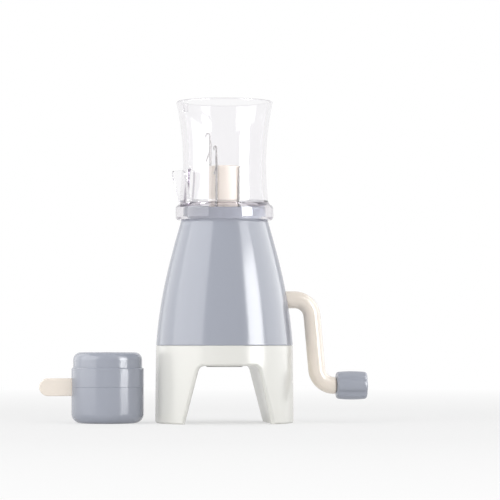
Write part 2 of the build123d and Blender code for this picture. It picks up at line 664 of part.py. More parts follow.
gear_outline = bevel_outline(GEAR_TEETH, GEAR_RADIUS, PINION_RADIUS, 180 / GEAR_TEETH)
with BuildPart() as drum_gear:
    add(bevel_loft(Plane.XY.offset(CRANK_HEIGHT), PINION_RADIUS - GEAR_DROP, PINION_RADIUS + GEAR_RISE,
                   PINION_RADIUS, gear_outline))
    with BuildSketch(Plane.XY.offset(GEAR_FACE - GEAR_DROP)):
        Circle(GEAR_RADIUS + GEAR_RIM)
    extrude(amount=GEAR_DROP + GEAR_RISE, mode=Mode.INTERSECT)
    with BuildSketch(Plane.XY.offset(GEAR_FACE + GEAR_RISE)):
        Circle(GEAR_RADIUS + GEAR_RIM)
    extrude(amount=GEAR_BACKING)
    with BuildSketch(Plane.XY.offset(GEAR_FACE - GEAR_DROP)):
        Circle(GEAR_BORE)
    extrude(amount=GEAR_TOP - GEAR_FACE + GEAR_DROP, mode=Mode.SUBTRACT)
save(drum_gear, "drum_gear")

pinion_outline = bevel_outline(PINION_TEETH, PINION_RADIUS, GEAR_RADIUS, 90)
with BuildPart() as crank_pinion:
    add(bevel_loft(CRANK_AXIS, GEAR_RADIUS - FACE_WIDTH, GEAR_RADIUS, GEAR_RADIUS, pinion_outline))
    with BuildSketch(CRANK_AXIS.offset(GEAR_RADIUS)):
        Circle(SHAFT_RADIUS)
    extrude(amount=-FACE_WIDTH, mode=Mode.SUBTRACT)
save(crank_pinion, "crank_pinion")

# ---------------------------------------------------------------- crank shaft, bush, clip and arm
PINION_INSIDE = GEAR_RADIUS - FACE_WIDTH
ARM_START = PILLAR_END + ARM_GAP
ARM_CORNER = SEAM_RADIUS + ARM_STANDOFF
SHAFT_END = ARM_CORNER - ARM_BEND
CLIP_GROOVE = SHAFT_RADIUS - CLIP_DEPTH

with BuildPart() as crank_bush:
    with BuildSketch(CRANK_AXIS.offset(PILLAR_START)):
        Circle(SHAFT_RADIUS + RUNNING_GAP + BUSH_WALL)
    extrude(amount=PILLAR_LENGTH)
    with BuildSketch(CRANK_AXIS.offset(PILLAR_END)):
        Circle(SHAFT_RADIUS + BUSH_RIM[0])
    extrude(amount=BUSH_RIM[1])
    with BuildSketch(CRANK_AXIS.offset(PILLAR_START)):
        Circle(SHAFT_RADIUS + RUNNING_GAP)
    extrude(amount=PILLAR_LENGTH + BUSH_RIM[1], mode=Mode.SUBTRACT)
save(crank_bush, "crank_bush")

with BuildPart() as crank_shaft:
    with BuildSketch(CRANK_AXIS.offset(PINION_INSIDE - SHAFT_TAIL)):
        Circle(SHAFT_RADIUS)
    extrude(amount=SHAFT_END - PINION_INSIDE + SHAFT_TAIL)
    with BuildSketch(CRANK_AXIS.offset(PINION_INSIDE - CLIP_THICKNESS)):
        Circle(SHAFT_RADIUS)
        Circle(CLIP_GROOVE, mode=Mode.SUBTRACT)
    extrude(amount=CLIP_THICKNESS, mode=Mode.SUBTRACT)
save(crank_shaft, "crank_shaft")

with BuildPart() as shaft_clip:
    with BuildSketch(CRANK_AXIS.offset(PINION_INSIDE - CLIP_THICKNESS)):
        Circle(SHAFT_RADIUS + CLIP_RIM)
        Circle(CLIP_GROOVE, mode=Mode.SUBTRACT)
        with Locations((0, -SHAFT_RADIUS - CLIP_RIM)):
            Rectangle(2 * CLIP_GROOVE, 2 * SHAFT_RADIUS + CLIP_RIM, mode=Mode.SUBTRACT)
    extrude(amount=CLIP_THICKNESS)
save(shaft_clip, "shaft_clip")

KNOB_HEIGHT = CRANK_HEIGHT - CRANK_THROW
KNOB_START = ARM_CORNER + ARM_SLANT + ARM_BEND
SPINDLE_END = KNOB_START + KNOB_LENGTH - KNOB_SCREW_INSET
with BuildPart() as crank_arm:
    with BuildLine() as arm_path:
        FilletPolyline(
            (ARM_START, 0, CRANK_HEIGHT),
            (ARM_CORNER, 0, CRANK_HEIGHT),
            (ARM_CORNER + ARM_SLANT, 0, KNOB_HEIGHT),
            (KNOB_START - KNOB_GAP, 0, KNOB_HEIGHT),
            radius=ARM_BEND - 0.4,
        )
    with BuildSketch(CRANK_AXIS.offset(ARM_START)):
        Circle(ARM_RADIUS)
    sweep(path=arm_path.wires()[0])
    fillet(crank_arm.edges().sort_by(Axis.X)[-1], radius=ARM_EDGE)
    with BuildSketch(CRANK_AXIS.offset(ARM_START)):
        Circle(SHAFT_RADIUS)
    extrude(amount=SHAFT_END - ARM_START, mode=Mode.SUBTRACT)
    knob_axis = Plane(origin=(0, 0, KNOB_HEIGHT), x_dir=(0, 1, 0), z_dir=(1, 0, 0))
    with BuildSketch(knob_axis.offset(KNOB_START - KNOB_GAP)):
        Circle(KNOB_SPINDLE)
    extrude(amount=SPINDLE_END - KNOB_START + KNOB_GAP)
    with BuildSketch(knob_axis.offset(SPINDLE_END)):
        Circle(SCREW_RADIUS)
    extrude(amount=-KNOB_SCREW_LENGTH - KNOB_SCREW_SPARE, mode=Mode.SUBTRACT)
save(crank_arm, "crank_arm")

with BuildPart() as knob:
    knob_end = KNOB_START + KNOB_LENGTH
    edge_along, edge_in = KNOB_EDGE
    face_top = KNOB_HEIGHT + KNOB_RADIUS - edge_in
    edge_top = KNOB_HEIGHT + KNOB_RADIUS - KNOB_BARREL
    with BuildSketch(Plane.XZ):
        with BuildLine():
            Polyline((KNOB_START, KNOB_HEIGHT), (KNOB_START, face_top))
            ThreePointArc(
                (KNOB_START, face_top),
                (KNOB_START + edge_along / 3, (face_top + 2 * edge_top) / 3),
                (KNOB_START + edge_along, edge_top),
            )
            ThreePointArc(
                (KNOB_START + edge_along, edge_top),
                ((KNOB_START + knob_end) / 2, KNOB_HEIGHT + KNOB_RADIUS),
                (knob_end - edge_along, edge_top),
            )
            ThreePointArc(
                (knob_end - edge_along, edge_top),
                (knob_end - edge_along / 3, (face_top + 2 * edge_top) / 3),
                (knob_end, face_top),
            )
            Polyline((knob_end, face_top), (knob_end, KNOB_HEIGHT), (KNOB_START, KNOB_HEIGHT))
        make_face()
    revolve(axis=Axis(origin=(0, 0, KNOB_HEIGHT), direction=(1, 0, 0)))
    with BuildSketch(knob_axis.offset(KNOB_START)):
        with PolarLocations(KNOB_RADIUS + FLUTE_RADIUS - FLUTE_DEPTH, KNOB_FLUTES, start_angle=90):
            Circle(FLUTE_RADIUS)
    extrude(amount=KNOB_LENGTH, mode=Mode.SUBTRACT)
    with BuildSketch(knob_axis.offset(KNOB_START)):
        Circle(KNOB_SPINDLE + RUNNING_GAP)
    extrude(amount=KNOB_LENGTH, mode=Mode.SUBTRACT)
    with BuildSketch(knob_axis.offset(SPINDLE_END - RUNNING_GAP)):
        Circle(KNOB_SPINDLE + KNOB_COUNTERBORE)
    extrude(amount=KNOB_LENGTH, mode=Mode.SUBTRACT)
save(knob, "knob")

with BuildPart() as knob_screw:
    with BuildSketch(knob_axis.offset(SPINDLE_END)):
        Circle(KNOB_SPINDLE + KNOB_SCREW_RIM)
    extrude(amount=KNOB_SCREW_HEAD)
    fillet(knob_screw.edges().group_by(Axis.X)[-1], radius=SCREW_EDGE)
    with BuildSketch(knob_axis.offset(SPINDLE_END)):
        Circle(SCREW_RADIUS)
    extrude(amount=-KNOB_SCREW_LENGTH)
    drive_length, drive_width, drive_depth = KNOB_SCREW_DRIVE
    with BuildSketch(knob_axis.offset(SPINDLE_END + KNOB_SCREW_HEAD)):
        Rectangle(drive_length, drive_width)
        Rectangle(drive_width, drive_length)
    extrude(amount=-drive_depth, mode=Mode.SUBTRACT)
save(knob_screw, "knob_screw")

# ---------------------------------------------------------------- needles, latches and rivets
STEM_OUTSIDE = STEM_INSET + STEM_DEPTH
PIVOT_RADIUS = STEM_OUTSIDE - LATCH_RIVET_INSET
HOOK_MID = STEM_OUTSIDE - HOOK_WIRE + HOOK_WIDTH / 2
HOOK_BEND = HOOK_WIDTH / 2
HOOK_END = HOOK_MID + HOOK_BEND


def rest_lift(angle):
    """Height of a needle above its low place, where the cam holds it at rest."""
    return max(0.0, CAM_OFFSET + CAM_SWING * cos(radians(angle - CAM_PEAK_ANGLE)))


for number in range(NEEDLES):
    angle = FIRST_NEEDLE_ANGLE + number * 360 / NEEDLES
    lift = rest_lift(angle)
    butt_bottom = BUTT_LOW + lift
    hook_top = DRUM_TOP + lift
    pivot = hook_top - LATCH_PIVOT_DROP
    plane = radial_plane(angle)
    with BuildPart() as needle:
        with BuildSketch(plane):
            with BuildLine():
                Polyline(
                    (STEM_OUTSIDE - HOOK_WIRE, hook_top - HOOK_BEND),
                    (STEM_OUTSIDE - HOOK_WIRE, hook_top - NECK[0]),
                    (STEM_INSET, hook_top - NECK[1]),
                    (STEM_INSET, butt_bottom),
                    (BUTT_REACH, butt_bottom),
                    (BUTT_REACH, butt_bottom + BUTT_HEIGHT),
                    (STEM_OUTSIDE, butt_bottom + BUTT_HEIGHT),
                    (STEM_OUTSIDE, hook_top - HOOK_BEND),
                )
                ThreePointArc(
                    (STEM_OUTSIDE, hook_top - HOOK_BEND),
                    (HOOK_MID, hook_top - HOOK_WIRE),
                    (HOOK_END - HOOK_WIRE, hook_top - HOOK_BEND),
                )
                Polyline(
                    (HOOK_END - HOOK_WIRE, hook_top - HOOK_BEND),
                    (HOOK_END - HOOK_WIRE, hook_top - HOOK_DROP),
                    (HOOK_END, hook_top - HOOK_BEND),
                )
                ThreePointArc(
                    (HOOK_END, hook_top - HOOK_BEND),
                    (HOOK_MID, hook_top),
                    (STEM_OUTSIDE - HOOK_WIRE, hook_top - HOOK_BEND),
                )
            make_face()
        extrude(amount=NEEDLE_THICKNESS / 2, both=True)
        with BuildSketch(plane):
            with Locations((STEM_INSET + STEM_BACK_GAP, pivot)):
                Rectangle(STEM_DEPTH, LATCH_SLOT_LENGTH, align=(Align.MIN, Align.CENTER))
        extrude(amount=LATCH_SLOT / 2, both=True, mode=Mode.SUBTRACT)
        with BuildSketch(plane):
            with Locations((PIVOT_RADIUS, pivot)):
                Circle(LATCH_RIVET)
        extrude(amount=NEEDLE_THICKNESS, both=True, mode=Mode.SUBTRACT)
    save(needle, f"needle_{number + 1}")

    with BuildPart() as rivet:
        with BuildSketch(plane):
            with Locations((PIVOT_RADIUS, pivot)):
                Circle(LATCH_RIVET)
        extrude(amount=NEEDLE_THICKNESS / 2, both=True)
    save(rivet, f"latch_rivet_{number + 1}")

    with BuildPart() as latch:
        lean = radians(LATCH_OPEN_ANGLE)
        tip = (PIVOT_RADIUS + LATCH_LENGTH * sin(lean), pivot - LATCH_LENGTH * cos(lean))
        with BuildSketch(plane):
            with Locations(((PIVOT_RADIUS + tip[0]) / 2, (pivot + tip[1]) / 2)):
                SlotCenterToCenter(LATCH_LENGTH, LATCH_WIDTH, rotation=-90 + LATCH_OPEN_ANGLE)
            with Locations((PIVOT_RADIUS, pivot)):
                Circle(LATCH_RIVET + RUNNING_GAP, mode=Mode.SUBTRACT)
        extrude(amount=LATCH_THICKNESS / 2, both=True)
        with BuildSketch(plane):
            with Locations(tip):
                Circle(SPOON_RADIUS)
        extrude(amount=NEEDLE_THICKNESS / 2, both=True)
    save(latch, f"latch_{number + 1}")
    print(f"needle {number + 1}: angle {angle:.0f}, lift {lift:.2f}, pivot radius {PIVOT_RADIUS:.2f}, "
          f"pivot height {pivot:.2f}")

# ---------------------------------------------------------------- screws that hold the base on
with BuildPart() as base_screws:
    with BuildSketch(Plane.XY.offset(ARCH_HEIGHT)):
        with Locations(BOSS_PLACES):
            Circle(SCREW_HEAD_RADIUS)
    extrude(amount=-SCREW_HEAD_HEIGHT)
    fillet(base_screws.edges().group_by(Axis.Z)[0], radius=SCREW_EDGE)
    with BuildSketch(Plane.XY.offset(ARCH_HEIGHT)):
        with Locations(BOSS_PLACES):
            Circle(SCREW_RADIUS)
    extrude(amount=2 * DECK_THICKNESS + BOSS_HEIGHT / 2 - SCREW_HEAD_HEIGHT)
    drive_length, drive_width, drive_depth = BASE_SCREW_DRIVE
    with BuildSketch(Plane.XY.offset(ARCH_HEIGHT - SCREW_HEAD_HEIGHT)):
        with Locations(BOSS_PLACES):
            Rectangle(drive_length, drive_width)
            Rectangle(drive_width, drive_length)
    extrude(amount=drive_depth, mode=Mode.SUBTRACT)
save(base_screws, "base_screws")

# ---------------------------------------------------------------- cord weight
WEIGHT_X = -(FOOT_RADIUS + WEIGHT_GAP + WEIGHT_RADIUS)
WEIGHT_AXIS = Axis(origin=(WEIGHT_X, 0, 0), direction=(0, 0, 1))
WEIGHT_INSIDE = WEIGHT_RADIUS - WEIGHT_WALL - WEIGHT_RIB
BALLAST_RADIUS = WEIGHT_INSIDE - BALLAST_SIDE_GAP
BUTTON_TIP = WEIGHT_X - WEIGHT_RADIUS - BUTTON_REACH
BUTTON_END = WEIGHT_X + CORD_HOLE + BUTTON_OVERLAP
BUTTON_MID = WEIGHT_PARTING
NECK_STEP = WEIGHT_HEIGHT - WEIGHT_NECK_HEIGHT


def cut_button_way():
    """Cut the passage that the button slides in out of the active half of the weight."""
    with BuildSketch(Plane(origin=(WEIGHT_X, 0, BUTTON_MID), x_dir=(0, 1, 0), z_dir=(-1, 0, 0))) as way:
        RectangleRounded(BUTTON_DEPTH + 2 * BUTTON_SLIDE_GAP, BUTTON_HEIGHT + 2 * BUTTON_SLIDE_GAP, 0.8)
    extrude(way.sketch, amount=2 * WEIGHT_RADIUS, mode=Mode.SUBTRACT)


with BuildPart() as weight_lower:
    side = WEIGHT_X + WEIGHT_RADIUS
    with BuildSketch(Plane.XZ):
        with BuildLine():
            Polyline((WEIGHT_X, 0), (side - WEIGHT_FOOT_ROUND, 0))
            RadiusArc((side - WEIGHT_FOOT_ROUND, 0), (side, WEIGHT_FOOT_ROUND), -WEIGHT_FOOT_ROUND)
            Polyline(
                (side, WEIGHT_FOOT_ROUND),
                (side, WEIGHT_PARTING - WEIGHT_PARTING_EDGE),
                (side - WEIGHT_PARTING_EDGE, WEIGHT_PARTING),
                (WEIGHT_X, WEIGHT_PARTING),
                (WEIGHT_X, 0),
            )
        make_face()
    revolve(axis=WEIGHT_AXIS)
    with BuildSketch(Plane.XY.offset(WEIGHT_WALL)):
        with Locations((WEIGHT_X, 0)):
            Circle(WEIGHT_INSIDE)
    extrude(amount=WEIGHT_PARTING, mode=Mode.SUBTRACT)
    with Locations((WEIGHT_X, 0, WEIGHT_WALL)):
        Hole(CORD_HOLE)
    cut_button_way()
save(weight_lower, "weight_lower")

with BuildPart() as weight_upper:
    neck = side - WEIGHT_NECK_STEP
    with BuildSketch(Plane.XZ):
        with BuildLine():
            Polyline(
                (WEIGHT_X, WEIGHT_PARTING),
                (side - WEIGHT_PARTING_EDGE, WEIGHT_PARTING),
                (side, WEIGHT_PARTING + WEIGHT_PARTING_EDGE),
                (side, NECK_STEP - WEIGHT_STEP_BEVEL),
                (side - WEIGHT_STEP_BEVEL, NECK_STEP),
                (neck, NECK_STEP),
                (neck, WEIGHT_HEIGHT - WEIGHT_TOP_ROUND),
            )
            RadiusArc((neck, WEIGHT_HEIGHT - WEIGHT_TOP_ROUND), (neck - WEIGHT_TOP_ROUND, WEIGHT_HEIGHT),
                      -WEIGHT_TOP_ROUND)
            Polyline((neck - WEIGHT_TOP_ROUND, WEIGHT_HEIGHT), (WEIGHT_X, WEIGHT_HEIGHT),
                     (WEIGHT_X, WEIGHT_PARTING))
        make_face()
    revolve(axis=WEIGHT_AXIS)
    with BuildSketch(Plane.XY.offset(WEIGHT_PARTING)):
        with Locations((WEIGHT_X, 0)):
            Circle(WEIGHT_INSIDE)
    extrude(amount=WEIGHT_HEIGHT - WEIGHT_PARTING - WEIGHT_CAP, mode=Mode.SUBTRACT)
    with Locations((WEIGHT_X, 0, WEIGHT_HEIGHT)):
        Hole(CORD_HOLE)
    cut_button_way()
save(weight_upper, "weight_upper")

BALLAST_LOW_TOP = BUTTON_MID - BUTTON_HEIGHT / 2 - BUTTON_STOP - BALLAST_GAP
BALLAST_HIGH_BOTTOM = BUTTON_MID + BUTTON_HEIGHT / 2 + BUTTON_STOP + BALLAST_GAP
BALLAST_HIGH_TOP = WEIGHT_HEIGHT - WEIGHT_CAP
with BuildPart() as weight_ballast:
    for bottom, top in ((WEIGHT_WALL, BALLAST_LOW_TOP), (BALLAST_HIGH_BOTTOM, BALLAST_HIGH_TOP)):
        with BuildSketch(Plane.XY.offset(bottom)):
            with Locations((WEIGHT_X, 0)):
                Circle(BALLAST_RADIUS)
                Circle(CORD_HOLE + BALLAST_HOLE_GAP, mode=Mode.SUBTRACT)
        extrude(amount=top - bottom)
save(weight_ballast, "weight_ballast")

with BuildPart() as weight_button:
    with BuildSketch(Plane.XZ):
        with Locations((BUTTON_TIP + BUTTON_HEIGHT / 2, BUTTON_MID)):
            Circle(BUTTON_HEIGHT / 2)
            Rectangle(BUTTON_END - BUTTON_TIP - BUTTON_HEIGHT / 2, BUTTON_HEIGHT,
                      align=(Align.MIN, Align.CENTER))
    extrude(amount=BUTTON_DEPTH / 2, both=True)
    fillet(weight_button.edges().filter_by(Plane.XZ), radius=BUTTON_EDGE)
    with BuildSketch(Plane.XZ):
        with Locations((WEIGHT_X - WEIGHT_INSIDE + BUTTON_STOP_GAP, BUTTON_MID)):
            Rectangle(BUTTON_STOP_LENGTH, BUTTON_HEIGHT + 2 * BUTTON_STOP, align=(Align.MIN, Align.CENTER))
    extrude(amount=BUTTON_DEPTH / 2, both=True)
    with Locations((WEIGHT_X - BUTTON_TRAVEL, 0, BUTTON_MID)):
        Cylinder(BUTTON_HOLE, 2 * BUTTON_HEIGHT, mode=Mode.SUBTRACT)
save(weight_button, "weight_button")

with BuildPart() as weight_spring:
    spring_start = BUTTON_END + SPRING_WIRE / 2
    spring_length = WEIGHT_X + BALLAST_RADIUS - SPRING_WIRE - BUTTON_END
    with BuildLine() as spring_path:
        Helix(spring_length / SPRING_TURNS, spring_length, SPRING_RADIUS - SPRING_WIRE / 2,
              center=(spring_start, 0, BUTTON_MID), direction=(1, 0, 0))
    with BuildSketch(Plane(origin=spring_path.line @ 0, z_dir=spring_path.line % 0)):
        Circle(SPRING_WIRE / 2)
    sweep(path=spring_path.line, is_frenet=True)
save(weight_spring, "weight_spring")
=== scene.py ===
"""Looks of a hand-cranked i-cord maker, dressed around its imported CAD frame.

Metres, +Z up. The needle drum turns about the Z axis, the feet stand on z = 0, the crank leaves
towards +X and -Y is the front.
"""

import logging
import math
from dataclasses import dataclass
from enum import Enum
from typing import Any, Callable, Mapping, Sequence

import bmesh
import bpy
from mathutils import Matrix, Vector


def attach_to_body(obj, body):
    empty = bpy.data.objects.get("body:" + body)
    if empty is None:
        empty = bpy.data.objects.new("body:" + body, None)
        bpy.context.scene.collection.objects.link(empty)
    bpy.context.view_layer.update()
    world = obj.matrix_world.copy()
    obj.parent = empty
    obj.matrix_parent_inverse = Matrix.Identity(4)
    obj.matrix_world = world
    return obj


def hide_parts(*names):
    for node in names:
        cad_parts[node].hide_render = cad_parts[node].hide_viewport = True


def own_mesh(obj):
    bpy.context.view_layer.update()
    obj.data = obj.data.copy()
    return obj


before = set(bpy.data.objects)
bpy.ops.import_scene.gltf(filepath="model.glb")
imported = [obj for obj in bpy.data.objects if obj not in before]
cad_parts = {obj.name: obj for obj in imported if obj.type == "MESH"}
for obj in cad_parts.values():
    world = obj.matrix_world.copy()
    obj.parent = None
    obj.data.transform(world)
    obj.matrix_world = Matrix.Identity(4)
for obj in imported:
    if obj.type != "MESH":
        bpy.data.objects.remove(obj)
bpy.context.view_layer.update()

LOG = logging.getLogger("i_cord_maker")
MM = 0.001
WELD = 0.001 * MM
ALONG_X = (0.0, math.pi / 2, 0.0)
NOISE_MIDDLE = 0.5
Triple = tuple[float, float, float]
Colour = Triple


class Body(Enum):
    """The moving bodies of the CAD frame that pieces ride on."""

    MACHINE = "body"
    CRANK = "crank"
    KNOB = "knob"
    DRUM = "drum"
    WEIGHT = "weight"
    BUTTON = "weight_button"


class Ray(Enum):
    """Kinds of ray that the stage answers in its own way."""

    CAMERA = "Is Camera Ray"
    GLOSSY = "Is Glossy Ray"
    TRANSMISSION = "Is Transmission Ray"
    SHADOW = "Is Shadow Ray"


# ---- node trees as Python expressions
def math_node(operation: str, reflected: bool = False) -> Callable[..., "Signal"]:
    """Make a method of Signal that adds one Math node to the signal's tree.

    Args:
        operation: The Math node's operation.
        reflected: Whether the other value comes first, as in 1 - mask.

    Returns:
        The method.
    """
    def method(self: "Signal", other: Any = 0.0) -> "Signal":
        """Return the node's result for this signal and another signal or number."""
        first, second = (other, self) if reflected else (self, other)
        return self.graph.add("ShaderNodeMath", {"operation": operation}, {0: first, 1: second})
    return method


class Signal:
    """An output socket that takes part in Python arithmetic by adding Math nodes to its tree."""

    __add__, __radd__ = math_node("ADD"), math_node("ADD", True)
    __sub__, __rsub__ = math_node("SUBTRACT"), math_node("SUBTRACT", True)
    __mul__, __rmul__ = math_node("MULTIPLY"), math_node("MULTIPLY", True)
    __truediv__, __rtruediv__ = math_node("DIVIDE"), math_node("DIVIDE", True)
    above = math_node("GREATER_THAN")
    at_most = math_node("MINIMUM")
    at_least = math_node("MAXIMUM")
    sine = math_node("SINE")
    cosine = math_node("COSINE")
    fraction = math_node("FRACT")
    whole = math_node("FLOOR")
    absolute = math_node("ABSOLUTE")

    def __init__(self, graph: "Graph", socket: bpy.types.NodeSocket) -> None:
        """Wrap one output socket of a graph."""
        self.graph = graph
        self.socket = socket

    def clamped(self) -> "Signal":
        """Return self held between 0 and 1."""
        return self.at_least(0.0).at_most(1.0)

    def parts(self) -> tuple["Signal", "Signal", "Signal"]:
        """Split a vector signal into its x, y and z."""
        node = self.graph.add("ShaderNodeSeparateXYZ", None, {0: self}).socket.node
        return tuple(Signal(self.graph, node.outputs[axis]) for axis in "XYZ")


class Graph:
    """A shader or geometry node tree that grows by Python calls."""

    def __init__(self, tree: bpy.types.NodeTree) -> None:
        """Start from an existing tree, emptied of its nodes."""
        self.tree = tree
        tree.nodes.clear()

    def add(self, kind: str, settings: Mapping[str, Any] | None = None,
            sockets: Mapping[Any, Any] | None = None, output: Any = 0) -> Signal:
        """Add a node of any type.

        Args:
            kind: The node's type name.
            settings: Its properties, such as a Math node's operation, set first.
            sockets: Its input sockets by name or number, each a signal, a constant or a list of
                signals.
            output: The output socket to return, by name or number.

        Returns:
            The chosen output as a signal; the node itself is signal.socket.node.
        """
        node = self.tree.nodes.new(kind)
        for name, value in (settings or {}).items():
            setattr(node, name, value)
        for key, value in (sockets or {}).items():
            socket = self._socket(node.inputs, key)
            for one in value if isinstance(value, list) else [value]:
                if isinstance(one, Signal):
                    self.tree.links.new(one.socket, socket)
                else:
                    socket.default_value = one
        return Signal(self, self._socket(node.outputs, output) if node.outputs else None)

    @staticmethod
    def _socket(sockets: Any, key: Any) -> bpy.types.NodeSocket:
        """Find a socket.

        Args:
            sockets: A node's inputs or outputs.
            key: The socket's number, or its name among those that are in use.

        Returns:
            The socket.
        """
        if isinstance(key, int):
            return sockets[key]
        return next(s for s in sockets if s.name == key and s.enabled)

    def blend(self, share: Any, first: Any, second: Any) -> Signal:
        """Return the colour that runs from first to second as the share goes from 0 to 1."""
        first, second = (c if isinstance(c, Signal) else (*c, 1.0) for c in (first, second))
        return self.add("ShaderNodeMix", {"data_type": "RGBA"}, {0: share, 6: first, 7: second}, 2)

    def ray(self, *kinds: Ray) -> Signal:
        """Tell some kinds of ray from the others.

        Args:
            kinds: The kinds of ray.

        Returns:
            1 for a ray of one of the kinds, and 0 for any other.
        """
        found, *others = (self.add("ShaderNodeLightPath", output=kind.value) for kind in kinds)
        for other in others:
            found = found.at_least(other)
        return found

    def past_bounces(self, count: float) -> Signal:
        """Return 1 for a ray that has already met more surfaces than the count, or else 0."""
        return self.add("ShaderNodeLightPath", output="Ray Depth").above(count)

    def bump(self, height: Signal, depth: float) -> Signal:
        """Return the normal of a surface that rises with the height, up to the depth in metres."""
        return self.add("ShaderNodeBump", None,
                        {"Strength": 1.0, "Distance": depth, "Height": height}, "Normal")

    def coat(self, sockets: Mapping[str, Any]) -> None:
        """End a material with a Principled shader that has these values and links."""
        shader = self.add("ShaderNodeBsdfPrincipled", None, sockets)
        self.add("ShaderNodeOutputMaterial", None, {"Surface": shader})


def new_material(name: str) -> tuple[bpy.types.Material, Graph]:
    """Make an empty node material.

    Args:
        name: The material's name.

    Returns:
        The material and its graph.
    """
    material = bpy.data.materials.new(name)
    material.use_nodes = True
    return material, Graph(material.node_tree)


def surface_noise(graph: Graph, size: float, detail: float = 3.0,
                  stretch: Triple = (1.0, 1.0, 1.0)) -> Signal:
    """Noise on the object's own coordinates.

    Args:
        graph: The material's graph.
        size: The size of its blotches, in metres.
        detail: How many finer layers it has.
        stretch: How much it is squeezed along each axis.

    Returns:
        The noise, from 0 to 1 around a middle of 0.5.
    """
    place = graph.add("ShaderNodeTexCoord", output="Object")
    mapped = graph.add("ShaderNodeMapping", {"vector_type": "POINT"},
                       {"Vector": place, "Scale": tuple(s / size for s in stretch)})
    return graph.add("ShaderNodeTexNoise", {"noise_dimensions": "3D"},
                     {"Vector": mapped, "Scale": 1.0, "Detail": detail})


# ---- finishes
@dataclass(frozen=True)
class MouldedPlastic:
    """Injection-moulded plastic: a faint flow of tone, fine texture and a few handling scuffs."""

    name: str
    colour: Colour
    roughness: float = 0.22
    smoothest: float = 0.05
    ior: float = 1.5
    tone: float = 0.025
    flow_size: float = 14 * MM
    flow_stretch: Triple = (1.0, 1.0, 0.4)
    speck_size: float = 0.7 * MM
    speck_share: float = 0.3
    texture_size: float = 0.35 * MM
    texture_depth: float = 0.003 * MM
    patch_size: float = 9 * MM
    patches: float = 0.035
    scuff_size: float = 0.5 * MM
    scuff_stretch: Triple = (0.05, 0.9, 1.0)
    scuff_start: float = 0.62
    scuff_gain: float = 4.0
    scuffs: float = 0.05

    def material(self) -> bpy.types.Material:
        """Build the finish as a node material.

        Returns:
            The material.
        """
        material, graph = new_material(self.name)
        flow = surface_noise(graph, self.flow_size, 4.0, self.flow_stretch)
        speck = surface_noise(graph, self.speck_size, 2.0)
        light = tuple(min(1.0, c * (1 + self.tone)) for c in self.colour)
        dark = tuple(c * (1 - self.tone) for c in self.colour)
        scratch = surface_noise(graph, self.scuff_size, 5.0, self.scuff_stretch)
        worn = ((scratch - self.scuff_start) * self.scuff_gain).clamped()
        patch = surface_noise(graph, self.patch_size)
        roughness = self.roughness + (patch - NOISE_MIDDLE) * self.patches + worn * self.scuffs
        grain = surface_noise(graph, self.texture_size, 2.0)
        graph.coat({
            "Base Color": graph.blend(flow * (1 - self.speck_share) + speck * self.speck_share,
                                      dark, light),
            "Roughness": roughness.at_least(self.smoothest),
            "IOR": self.ior,
            "Normal": graph.bump(grain, self.texture_depth),
        })
        return material


@dataclass(frozen=True)
class ClearPlastic:
    """Thick clear plastic, a little tinted where one looks along its walls.

    A ray that has met many walls already goes straight on, so that the hood's inside stays clear.
    """

    name: str
    tint: Colour = (0.995, 0.993, 0.997)
    absorbed: Colour = (0.57, 0.53, 0.59)
    density: float = 46.0
    ior: float = 1.49
    roughness: float = 0.03
    smears: float = 0.03
    smear_size: float = 6 * MM
    smear_stretch: Triple = (1.0, 1.0, 0.3)
    ripple_size: float = 0.9 * MM
    ripple_share: float = 0.2
    ripple_depth: float = 0.002 * MM
    shadow: Colour = (0.985, 0.985, 0.985)
    most_bounces: float = 4.5

    def material(self) -> bpy.types.Material:
        """Build the finish as a node material.

        Returns:
            The material.
        """
        material, graph = new_material(self.name)
        smear = surface_noise(graph, self.smear_size, 4.0, self.smear_stretch)
        ripple = surface_noise(graph, self.ripple_size, 2.0)
        uneven = smear * (1 - self.ripple_share) + ripple * self.ripple_share
        glass = graph.add("ShaderNodeBsdfPrincipled", None, {
            "Base Color": (*self.tint, 1.0),
            "Roughness": self.roughness + smear * self.smears,
            "IOR": self.ior,
            "Transmission Weight": 1.0,
            "Normal": graph.bump(uneven, self.ripple_depth),
        })
        clear = graph.add("ShaderNodeBsdfTransparent", None, {"Color": (*self.shadow, 1.0)})
        straight = graph.ray(Ray.SHADOW).at_least(graph.past_bounces(self.most_bounces))
        surface = graph.add("ShaderNodeMixShader", None, {0: straight, 1: glass, 2: clear})
        inside = graph.add("ShaderNodeVolumeAbsorption", None,
                           {"Color": (*self.absorbed, 1.0), "Density": self.density})
        graph.add("ShaderNodeOutputMaterial", None, {"Surface": surface, "Volume": inside})
        return material


@dataclass(frozen=True)
class DrawnSteel:
    """Bright steel with fine lines along the way it was drawn or turned."""

    name: str
    colour: Colour = (0.54, 0.53, 0.53)
    roughness: float = 0.24
    stretch: Triple = (1.0, 1.0, 0.04)
    line_size: float = 0.12 * MM
    line_depth: float = 0.003 * MM
    line_share: float = 0.4
    line_roughness: float = 0.15
    stain_size: float = 3 * MM
    stain_tone: float = 0.82

    def material(self) -> bpy.types.Material:
        """Build the finish as a node material.

        Returns:
            The material.
        """
        material, graph = new_material(self.name)
        line = surface_noise(graph, self.line_size, 4.0, self.stretch)
        stain = surface_noise(graph, self.stain_size)
        dark = tuple(c * self.stain_tone for c in self.colour)
        graph.coat({
            "Base Color": graph.blend(stain * (1 - self.line_share) + line * self.line_share,
                                      dark, self.colour),
            "Metallic": 1.0,
            "Roughness": self.roughness + (line - NOISE_MIDDLE) * self.line_roughness,
            "Normal": graph.bump(line, self.line_depth),
        })
        return material


